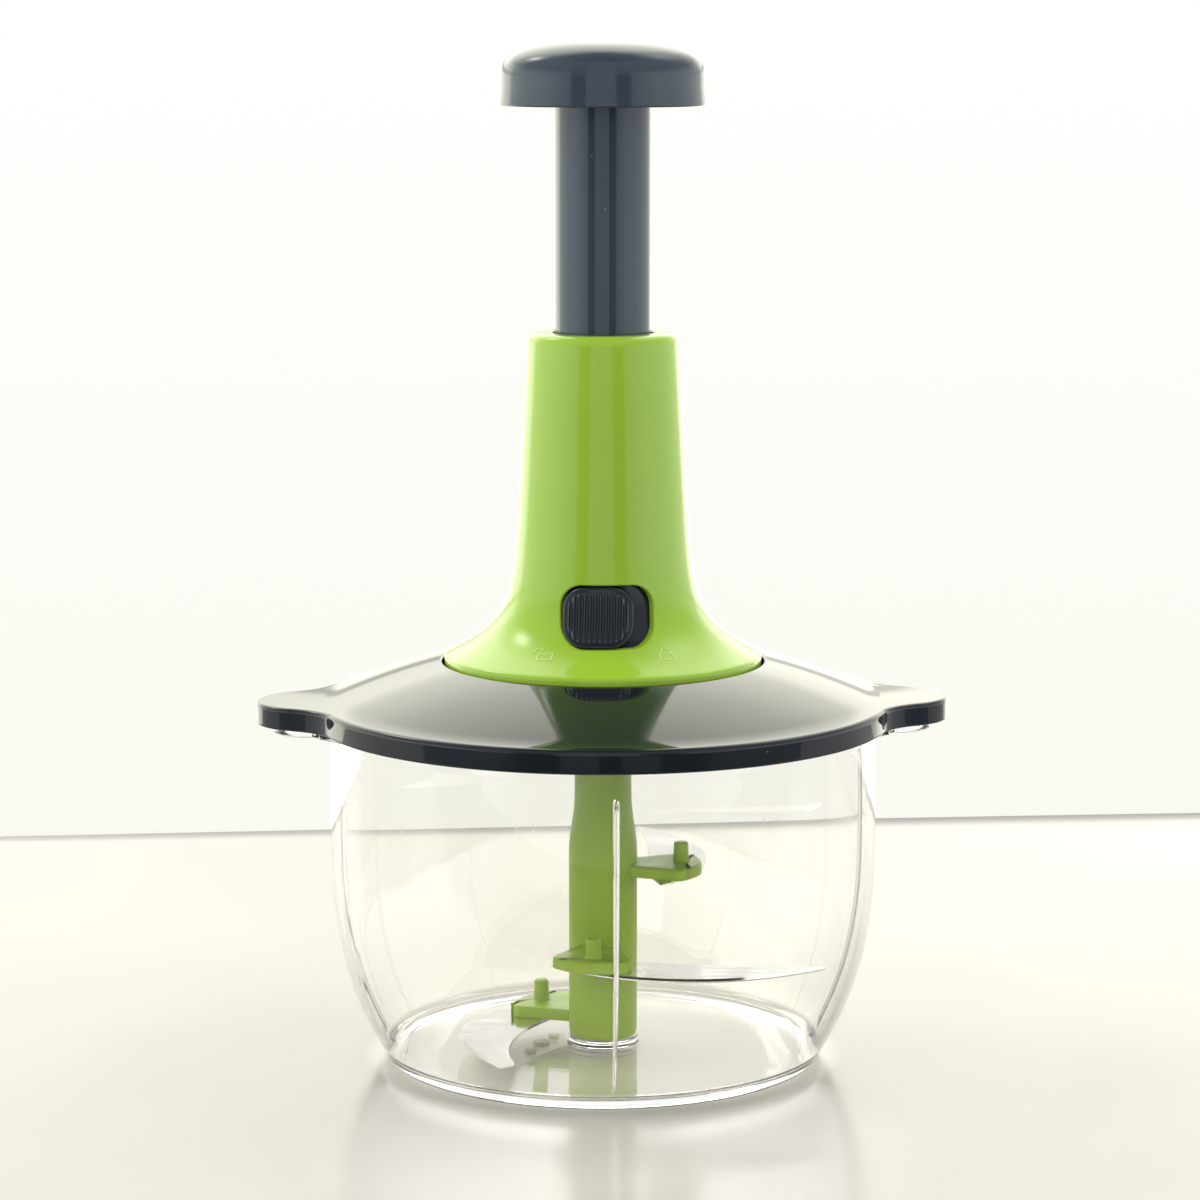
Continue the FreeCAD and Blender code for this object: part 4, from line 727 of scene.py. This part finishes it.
def padlock(name, middle, level, lean, is_open):
    """Padlock outline in low relief: a rounded body and a shackle, swung clear if open, coloured
    paler than the housing as painted light on the raised lines.
    """
    half, low, top, reach = 2.2, -1.4, 1.2, 1.45
    body = rounded((-half, low, 0.3), (half, low, 0.3), (half, top, 0.3), (-half, top, 0.3),
                   closed=True, steps=3)
    body = np.vstack([body, body[:2]])
    t = np.linspace(0, pi, 14)
    shackle = joined(-reach * np.cos(t), top + 1.0 + 1.3 * np.sin(t))
    shackle = np.vstack([[(-reach, top)], shackle, [(reach, top)]])
    if is_open:
        shackle = shackle[:-2] + np.array([-2.6, 0.1])
    c, s = cos(lean), sin(lean)
    spin = np.array([[c, s], [-s, c]])
    body, shackle = (ridge(line @ spin, 0.6, 0.16, middle, level) for line in (body, shackle))
    start, end = (0 * shackle[:, :1] + shackle[:, k].mean(axis=0) for k in (0, -1))
    shackle = np.concatenate([start, shackle, end], axis=1)
    piece(name, mark_green_painted_light, "head", "green_plastic", (body, True, False), (shackle, True, False),
          sharp=60)


# ---- lock slider
SLIDER_DEPTH = PUMP_WALL + 0.3
SLIDER_PLATE = 1.6
SLIDER_HALF = radians(36)
SLIDER_TURN = radians(-5.5)
GRIP = (20.4, 16.2, 6.0)  # width, height, corner radius
GRIP_PROUD = 1.5
GRIP_RIBS = 12
GRIP_FIELD = 18.6  # width of the ribbed field
PLATE_REACH = 1.2  # how far the plate goes past the window, up and down
FINGER = (14.8, 27.0, 3.6, 127.8, 130.6)  # inner and outer reach, width, low and high level


def grip_face():
    """Grip as a grid: columns at x across it and rows at z = H(x) t up it, where H is half its
    height. It stands proud of the housing's skin by p, less a rounded edge, plus ribs of a
    rounded saw form, cos^2, that fade out near the edge."""
    half_width, half_height, corner = GRIP[0] / 2, GRIP[1] / 2, GRIP[2]
    x = np.sin(np.linspace(-pi / 2, pi / 2, 361)) * half_width
    x = np.sort(np.append(x, np.linspace(-half_width + 2, half_width - 2, 240)))[:, None]
    side = np.maximum(np.abs(x) - (half_width - corner), 0)
    tall = half_height - corner + np.sqrt(np.maximum(corner ** 2 - side ** 2, 0))
    t = np.sin(np.linspace(-pi / 2, pi / 2, 61))[None]
    z = tall * t
    rise = np.maximum(np.abs(z) - (half_height - corner), 0)
    edge = corner - np.hypot(side, rise)
    edge = np.where((side == 0) | (rise == 0), np.minimum(half_width - np.abs(x),
                                                          half_height - np.abs(z)), edge)
    edge = np.maximum(edge, 0)
    fall = 1.0 - np.sqrt(held(1 - (1 - held(edge / 0.7)) ** 2))
    pitch = GRIP_FIELD / GRIP_RIBS
    wave = np.cos(pi * (x / pitch + 0.5)) ** 2
    fade = held((edge - 1.3) / 0.5)
    fade = fade * fade * (3 - 2 * fade)
    proud = GRIP_PROUD - 0.45 - 0.7 * fall + 0.55 * fade * wave ** 1.5
    level = z + WINDOW[3]
    y = -np.sqrt(np.maximum((skin(level) + proud) ** 2 - x ** 2, 1))
    face = np.stack([x + 0 * z, y, level], axis=-1)
    back = face.copy()
    back[..., 1] = -under_skin(level, SLIDER_DEPTH + SLIDER_PLATE / 2)
    return face, back


def slider_piece():
    count = 30
    levels = np.linspace(WINDOW[3] - WINDOW[1] / 2 - PLATE_REACH,
                         WINDOW[3] + WINDOW[1] / 2 + PLATE_REACH, count)
    angles = FRONT + np.linspace(-SLIDER_HALF, SLIDER_HALF, 60)
    front = joined(under_skin(levels, SLIDER_DEPTH), levels)
    rear = joined(under_skin(levels, SLIDER_DEPTH + SLIDER_PLATE), levels)[::-1]
    plate = turned(np.vstack([front, rear]), angles)
    ends = [np.stack([plate[:count, k], plate[:count - 1:-1, k]]) for k in (0, -1)]
    face, back = grip_face()
    rim = [np.stack([face[:, k], back[:, k]]) for k in (0, -1)]
    near, far, width, low, high = FINGER
    tip = rounded((-near, -width / 2, 0.6), (-near, width / 2, 0.6), (-far, width / 2),
                  (-far, -width / 2), closed=True)
    finger = moved(slab(tip, low, high, 0.3, 0.3), angle=-FRONT)
    grids = [(plate, True, False), *((grid, False, False) for grid in (*ends, face, *rim)),
             (finger, False, True)]
    grids = [(moved(grid, angle=SLIDER_TURN), *wraps) for grid, *wraps in grids]
    piece("lock_slider_grip", grip_dark, "lock_slider", "dark_plastic", *grids, sharp=50,
          stands_for=["lock_slider"])


# ---- knob and tube
KNOB_TOP = highest("press_knob")[2]
KNOB_BOTTOM = lowest("press_knob")[2]
KNOB_RADIUS = 30.4
KNOB_SIDE = (29.9, 6.0)  # radius where the crown starts, its height over the lower edge
KNOB_POWERS = (2.4, 3.4)  # of the crown's oval
KNOB_WALL = 2.4
HUB = (14.2, 16.8, 283.4)  # inner radius, outer radius, lower edge
TUBE_RADIUS = 14.15
TUBE_BORE = 11.95
KNOB_RIBS = 6
TUBE_LATCH = 14.5  # radius of the slot for the slider's finger
FLANGE = (17.4, 188.0, 191.5)  # radius, lower and upper level
WEB = (4.9, 222.0, 225.0)  # radius of its hole, lower and upper level


def crown(r):
    """Height of the knob's top at a radius: a flattened oval, h (1 - (r / R)^2.4)^(1 / 3.4)
    over the level where the crown starts."""
    start = KNOB_BOTTOM + KNOB_SIDE[1]
    part = held(r / KNOB_SIDE[0]) ** KNOB_POWERS[0]
    return start + (KNOB_TOP - start) * (1 - part) ** (1 / KNOB_POWERS[1])


def knob_piece():
    r = KNOB_SIDE[0] * np.sin(np.linspace(pi / 2, 0, 80)) ** 0.6
    over = joined(r, crown(r))
    inside = KNOB_SIDE[0] - KNOB_WALL
    r = np.linspace(HUB[1], inside, 16)
    ceiling = joined(r, crown(r + KNOB_WALL * 0.75) - KNOB_WALL)
    profile = np.vstack([
        over[::-1],
        rounded(over[0], (KNOB_RADIUS, KNOB_BOTTOM, 0.5),
                (KNOB_RADIUS - KNOB_WALL, KNOB_BOTTOM, 0.4), ceiling[-1])[1:],
        ceiling[::-1][1:],
        rounded(ceiling[0], (HUB[1], HUB[2], 0.3), (HUB[0], HUB[2], 0.3),
                (HUB[0], KNOB_TOP - KNOB_WALL), (0, KNOB_TOP - KNOB_WALL))[1:],
    ])
    grids = [(turned(profile, directions(200)), False, True)]
    r = np.linspace(HUB[1] - 0.3, inside + 0.8, 12)
    top = crown(r + 1.0) - KNOB_WALL * 0.6
    low, half = HUB[2] + 2.0, 0.9
    rib = np.stack([joined(r, y, z)
                    for y, z in ((-half, top), (-half, low), (half, low), (half, top))])
    grids += [(moved(rib, angle=radians(30 + 60 * k)), True, False) for k in range(KNOB_RIBS)]
    piece("press_knob_gloss", dark, "plunger", "dark_plastic", *grids, stands_for=["press_knob"])


def tube_reach(r, z, a):
    """The flange is notched for the rails at +X and -X and for the slider's finger in front."""
    rails = (np.abs(np.sin(a)) * r < RAIL[1] / 2 + 0.3) & (r > RAIL[0] - 0.3)
    a = a - (FRONT + SLIDER_TURN)
    latch = (np.abs(np.sin(a)) * r < FINGER[2] / 2 + 0.45) & (np.cos(a) > 0) & (r > TUBE_LATCH)
    return np.where(rails, RAIL[0] - 0.3, np.where(latch, TUBE_LATCH, r))


def tube_piece():
    top = highest("plunger_tube")[2]
    profile = rounded((TUBE_BORE, FLANGE[1], 0.3), (FLANGE[0], FLANGE[1], 0.3),
                      (FLANGE[0], FLANGE[2], 0.3), (TUBE_RADIUS, FLANGE[2], 0.1),
                      (TUBE_RADIUS, top, 0.4), (TUBE_BORE, top, 0.4), (TUBE_BORE, WEB[2], 0.3),
                      (WEB[0], WEB[2], 0.2), (WEB[0], WEB[1], 0.2), (TUBE_BORE, WEB[1], 0.3),
                      closed=True)
    angles = directions(160, *both_sides(0.13, 12), (FRONT + SLIDER_TURN, 0.2, 14))
    piece("plunger_tube_gloss", dark, "plunger", "dark_plastic",
          (turned(profile, angles, tube_reach), True, True), stands_for=["plunger_tube"])


# ---- blade shaft
SHAFT_FOOT = lowest("blade_shaft")[2]
SHAFT_TOP = highest("blade_shaft")[2]
SHAFT = (9.85, 10.2, 8.5, 8.3)  # radius at the foot, up the stem, at the neck, at the shoulder
SHAFT_TAPER = (61.0, 78.0)
SHOULDER = 96.5
SHAFT_BORE = 7.6
SHAFT_CORE = (5.8, 92.5)  # radius and top of the narrower bore above it
HEXAGON = 12.0  # across its flats
ARM_ANGLES = (141.0, 260.4, 358.0)
ARM_TOPS = (12.3, 34.2, 57.9)
ARM_THICKNESS = 3.4
ARM_TIP = (29.5, 11.4)  # reach, half width of the arc at the tip
ARM_CORNERS = (27.3, 24.0, 13.2)  # reach of the front and the back corner, half width
BLADE = 1.0  # thickness
PEG = (23.3, 2.35, 2.15, 6.0)  # distance, radius at the foot and top, height
LOW_STAKES = ((23.3, 0.0, 2.7), (25.0, -8.5, 1.8), (20.5, 9.0, 1.8))  # x, y, radius
UPPER_STAKES = ((23.3, 0.0, 2.7), (19.5, -6.5, 1.8), (22.5, 9.0, 1.8))


def arm_line():
    """Plan of an arm: a fan from inside the stem out to an arc, with rounded corners. With t
    from -1 to 1 across the tip, the arc is x = reach - 3.6 t^2, half as deep again for t < 0 and
    a little straighter for t > 0, at y = half width t."""
    t = np.linspace(-1, 1, 25)[1:-1]
    fall = 3.6 * t ** 2 * (1 + 0.55 * (t < 0)) - 0.48 * np.maximum(t, 0)
    tip = joined(ARM_TIP[0] - fall, ARM_TIP[1] * t)
    front_corner, back_corner, half = ARM_CORNERS
    front = rounded((11.0, 7.0), (front_corner, half, 3.0), tip[-1])
    back = rounded(tip[0], (back_corner, -half, 3.0), (9.0, -7.0))
    return np.vstack([[(4.0, -5.0), (4.0, 5.0)], front[:-1], tip[::-1], back[1:]])[::-1]


def shaft_piece():
    t = np.linspace(0, 1, 12)
    swell = t * t * (3 - 2 * t)
    taper = joined(SHAFT[1] + (SHAFT[2] - SHAFT[1]) * swell,
                   SHAFT_TAPER[0] + (SHAFT_TAPER[1] - SHAFT_TAPER[0]) * t)
    post = np.vstack([
        rounded((SHAFT_BORE, SHAFT_TAPER[0] - 3), (SHAFT_BORE, SHAFT_FOOT, 0.3),
                (SHAFT[0], SHAFT_FOOT, 0.4), (SHAFT[1], SHAFT_FOOT + 1.6)),
        taper,
        rounded((SHAFT[2] - 0.02, SHAFT_TAPER[1] + 1), (SHAFT[3], SHOULDER, 0.6),
                (HEXAGON / 2 - 0.5, SHOULDER)),
        [(0, SHOULDER), (0, SHAFT_CORE[1]), SHAFT_CORE, (SHAFT_CORE[0], SHAFT_TAPER[0])]])
    grids = [(turned(post, directions(96)), True, True)]
    corner = HEXAGON / sqrt(3)
    key = rounded(*((corner * cos(a), corner * sin(a), 0.4)
                    for a in np.arange(6) * pi / 3), closed=True, steps=4)
    grids.append((slab(key[::-1], SHOULDER - 1, SHAFT_TOP, 0.1, 0.6), False, True))
    arm = arm_line()
    distance, foot, tip, height = PEG
    for angle, top, stakes in zip(ARM_ANGLES, ARM_TOPS, (LOW_STAKES, UPPER_STAKES, UPPER_STAKES)):
        low = top - ARM_THICKNESS
        parts = [slab(arm, low, top, 0.25, 0.9)]
        peg = rounded((0, top - 1), (foot + 0.9, top - 1), (foot + 0.9, top - 0.02),
                      (foot, top + 0.05, 0.7), (tip, top + height, 0.7), (0, top + height))
        parts.append(moved(turned(peg, directions(32)), distance))
        under = low - BLADE
        for x, y, radius in stakes:
            neck = radius * 0.74
            head = rounded((0, under - 0.75), (radius, under - 0.7, 0.55), (radius, under),
                           (neck, under), (neck, low + 0.5), (0, low + 0.5))
            parts.append(moved(turned(head, directions(28)), x, y))
        grids += [(moved(part, angle=radians(angle)), False, True) for part in parts]
    piece("blade_shaft_satin", satin_green, "blade_unit", "shaft_plastic", *grids, sharp=40,
          stands_for=["blade_shaft"])


# ---- solids that stay
def dress_solids():
    """Materials for the solids that keep their own shape."""
    finishes = {
        steel: ("pivot_pin", "low_blade", "middle_blade", "upper_blade", "rod_pin", "drive_rod",
                "cover_screws", "return_spring", "housing_screws", "nut_screws"),
        acetal: ("foot_bush", "drive_socket", "ratchet_driver", "guide_bush", "twist_nut"),
        silicone: ("lid_seal",),
        grip_dark: ("base_plate", "clutch_cover"),
    }
    for material, names in finishes.items():
        for name in names:
            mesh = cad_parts[name].data
            mesh.materials.clear()
            mesh.materials.append(material)


# ---- floor, light and camera
CAMERA = (-50.9, -1079.4, 300.9)
AIM = (0.0, 0.0, 136.7)
FOCAL = 3700.0  # in pixels of the frame
FRAME = 1200.0
AXIS_SHIFT = 3.0  # pixels from the frame's middle to the blade axis
SHEET_HALF = 1500  # half width of the floor and of the card on it
FLOOR_BACK, FLOOR_FRONT = 314.0, -420.0
FLAG_BACK, FLAG_FRONT = -165.0, -1100
LEFT_BACK, RIGHT_BACK = (145, 45), (33, 54)  # direction and height of the two main lamps
LAMP_DISTANCE = 1.6  # in metres, from a point on the blade axis
LAMP_CENTRE = 0.14  # in metres, its height


def floor_material():
    """Pale glazed sheet with slow unevenness and a soft mirror of what stands on it, a little
    darker and less warm towards the back. It is painted paler under the bowl and in an oval just in
    front of it: painted light that offsets the shadow of the lid and bowl there."""
    look = Finish("floor_pale", IOR=1.45, Specular_IOR_Level=0.25)
    drift = look.patches(3, 3, 0.3, 0.7)
    front = look.blend(drift, (0.378, 0.362, 0.314), (0.398, 0.382, 0.334))
    back = look.blend(drift, (0.366, 0.351, 0.320), (0.386, 0.371, 0.340))
    tone = look.blend(look.ramp(look.axes(look.place)[1], -0.15, 0.25), front, back)
    # painted light: a paler disc under the bowl and a paler oval in front of it, standing in for
    # light where the lid and bowl shade the floor
    under = look.ramp(look.length(look.place), 0.056, 0.072, 1.0, 0.0)
    oval = look.add("Mapping", {"Vector": look.place, "Location": (0, 0.088, 0),
                                "Scale": (0.9, 0.8, 1)})[0]
    before = look.ramp(look.length(oval), 0.02, 0.08, 0.45, 0.0)
    near = look.maths("MAXIMUM", under, before)
    look.set(Base_Color=look.blend(near, tone, (0.84, 0.815, 0.72)),
             Roughness=look.patches(9, 3, 0.3, 0.7, 0.16, 0.24))
    return look.material


def stage_sheet(name, y_back, y_front, z, material):
    """Flat sheet whose back edge runs a little askew and curls up slightly, as (1 - s)^3."""
    across = np.linspace(-SHEET_HALF, SHEET_HALF, 60)[None]
    back = np.append(y_back - np.linspace(0, 9, 9), np.linspace(y_back - 40, y_front, 12))
    y = back[:, None] + 0.033 * across + 2.0 * np.sin(across / 160.0)
    near = held(1 - (y_back - back) / 9.0)[:, None] ** 3
    height = z + near * (1.2 + 0.6 * np.sin(across / 210.0 + 1.0))
    points = np.stack([across + 0 * y, y, height], axis=-1)
    faces = grid_faces(*points.shape[:2], False, False)
    mesh = mesh_of(name, points.reshape(-1, 3), faces, material)
    mesh.flip_normals()
    mesh.shade_smooth()
    sheet = placed(name, mesh)
    return sheet


def flag():
    """Dark card lying in front of the object, which only mirrored light meets. It is paler in
    a strip on either side of its middle and far out to the sides, away from the object."""
    look = Finish("flag_card", Roughness=0.9)
    x, y, _ = look.axes(look.place)
    aside = look.maths("ABSOLUTE", look.bearing(x, y))
    strip = look.product(look.ramp(aside, 0.06, 0.09), look.ramp(aside, 0.33, 0.30))
    lit = look.maths("MAXIMUM", strip, look.ramp(aside, 0.56, 0.75))
    lit = look.product(lit, look.ramp(look.length(look.place), 0.35, 0.65))
    look.set(Base_Color=look.blend(lit, (0.02, 0.02, 0.02), (0.17, 0.20, 0.25)))
    card = stage_sheet("flag", FLAG_BACK, FLAG_FRONT, 0.3, look.material)
    card.visible_camera = card.visible_diffuse = card.visible_transmission = False
    card.visible_shadow = False


def towards(azimuth, elevation):
    """Unit vector in a direction given in degrees."""
    a, e = radians(azimuth), radians(elevation)
    return Vector((cos(a) * cos(e), sin(a) * cos(e), sin(e)))


def lamp(name, azimuth, elevation, width, height, radiance):
    """Rectangular lamp seen from the object in a direction in degrees, and not mirrored in it.
    Its power is pi x area x radiance."""
    light = bpy.data.lights.new(name, "AREA")
    light.shape = "RECTANGLE"
    light.size, light.size_y = width, height
    light.energy = pi * width * height * radiance
    facing = towards(azimuth, elevation)
    thing = placed(name, light)
    thing.location = Vector((0, 0, LAMP_CENTRE)) + facing * LAMP_DISTANCE
    thing.rotation_euler = facing.to_track_quat("Z", "Y").to_euler()
    thing.visible_glossy = False


def studio_world():
    """White room. The camera sees plain white. Gloss sees a room that is bright behind and
    above, with a pale strip between two dark gaps at the front, and the soft light of the two
    main lamps, radiance x cos(angle from it) to a power. Other rays see an even grey."""
    world = bpy.data.worlds.new("studio")
    scene.world = world
    world.use_nodes = True
    room = Nodes(world.node_tree)
    room.tree.nodes.clear()
    add, maths, product, curve = room.add, room.maths, room.product, room.curve

    direction = add("TexCoord")["Generated"]
    x, y, z = room.axes(direction)
    turn = maths("DIVIDE", room.bearing(x, y), pi)
    ahead = maths("ABSOLUTE", maths("ADD", turn, 0.027))
    aside = maths("ABSOLUTE", maths("SUBTRACT", turn, 0.03))
    height = maths("MAXIMUM", maths("DIVIDE", maths("ARCSINE", z), pi / 2), 0.0)

    strips = curve(ahead, (0, 0.125), (0.085, 0.125), (0.10, 0.01), (0.17, 0.01), (0.20, 0.15),
                   (0.36, 0.27), (1, 0.27))
    sides = curve(aside, (0, 0.55), (0.60, 0.55), (0.715, 0.58), (0.76, 1), (0.88, 0.85),
                  (1, 0.55))
    around = product(product(strips, sides), 1.8)
    behind = curve(aside, (0, 0.2), (0.35, 0.12), (0.62, 0.15), (0.78, 0.55), (0.86, 0.95),
                   (1, 0.95))
    dip = product(behind, curve(height, (0, 0), (0.03, 0), (0.05, 0.5), (0.08, 0.5), (0.097, 0),
                                (1, 0)))
    low = maths("SUBTRACT", curve(height, (0, 1), (0.1, 0.9), (0.25, 0.18), (1, 0.1)), dip)
    high = curve(height, (0, 0), (0.06, 0.03), (0.1, 0.07), (0.2, 0.38), (0.32, 0.46),
                 (0.5, 0.46), (0.62, 0.42), (0.8, 0), (1, 0))
    tilt = maths("SUBTRACT", 6.5, product(x, 0.6))
    gloss = product(maths("ADD", product(around, low), product(behind, high)), tilt)
    for place, power, radiance in ((LEFT_BACK, 160, 6.8), (RIGHT_BACK, 45, 1.6)):
        facing = add("VectorMath", {0: direction, 1: towards(*place)}, operation="DOT_PRODUCT")
        near = maths("POWER", maths("MAXIMUM", facing["Value"], 0.0), power)
        gloss = maths("ADD", gloss, product(near, radiance))
    tint = room.blend(product(maths("SUBTRACT", aside, 0.45), 3.3), (0.90, 0.95, 1.05),
                      (1.0, 0.99, 0.86))
    mirrored = add("Background", {"Color": tint, "Strength": gloss})[0]

    spread = curve(aside, (0, 0.08), (0.2, 0.25), (0.4, 1.0), (0.62, 1.0), (1, 0.5))
    rise = product(curve(height, (0, 1.0), (0.3, 0.8), (1, 0.25)), 2.2)
    plain = add("Background", {"Color": (0.95, 0.97, 1.0, 1),
                               "Strength": product(spread, rise)})[0]

    path = add("LightPath")
    backdrop = room.blend(product(maths("ADD", z, 0.22), 4.5), (0.955, 0.955, 0.88),
                          (1.0, 1.0, 0.985))
    beyond = curve(aside, (0, 0.45), (0.2, 0.5), (0.4, 1.0), (0.6, 1.0), (0.8, 0.52), (1, 0.5))
    through = product(maths("SUBTRACT", product(beyond, 2.0), 1.0), path["Is Transmission Ray"])
    white = add("Background", {"Color": backdrop, "Strength": maths("ADD", 1.0, through)})
    seen = maths("MAXIMUM", path["Is Camera Ray"], path["Is Transmission Ray"])
    unseen = room.either(path["Is Glossy Ray"], plain, mirrored)
    add("OutputWorld", {"Surface": room.either(seen, unseen, white[0])})


def studio():
    """World, floor, lamps and camera."""
    studio_world()
    stage_sheet("floor_sheet", FLOOR_BACK, FLOOR_FRONT, -0.05, floor_material())
    flag()
    lamp("left_back", *LEFT_BACK, 0.62, 0.62, 4.5)
    lamp("right_back", *RIGHT_BACK, 0.75, 0.75, 2.8)
    lamp("front_strip", -90, 60, 1.3, 0.22, 4.0)
    lamp("front_fill", -100, 14, 1.3, 0.7, 1.5)
    lamp("back_low", 95, 24, 1.5, 0.5, 4.5)
    view = bpy.data.cameras.new("camera")
    view.sensor_width = 36.0
    view.lens = FOCAL * view.sensor_width / FRAME
    view.shift_x = -AXIS_SHIFT / FRAME
    view.clip_end = 100.0
    camera = placed("camera", view)
    camera.location = Vector(CAMERA) * MM
    camera.rotation_euler = (Vector(AIM) - Vector(CAMERA)).to_track_quat("-Z", "Y").to_euler()
    scene.camera = camera
    scene.view_settings.view_transform = "Standard"


bowl_piece()
lid_piece()
housing_piece()
padlock("padlock_open", radians(-118.2), 125.5, 0.10, True)
padlock("padlock_closed", radians(-64.4), 125.5, -0.16, False)
slider_piece()
knob_piece()
tube_piece()
shaft_piece()
dress_solids()
studio()
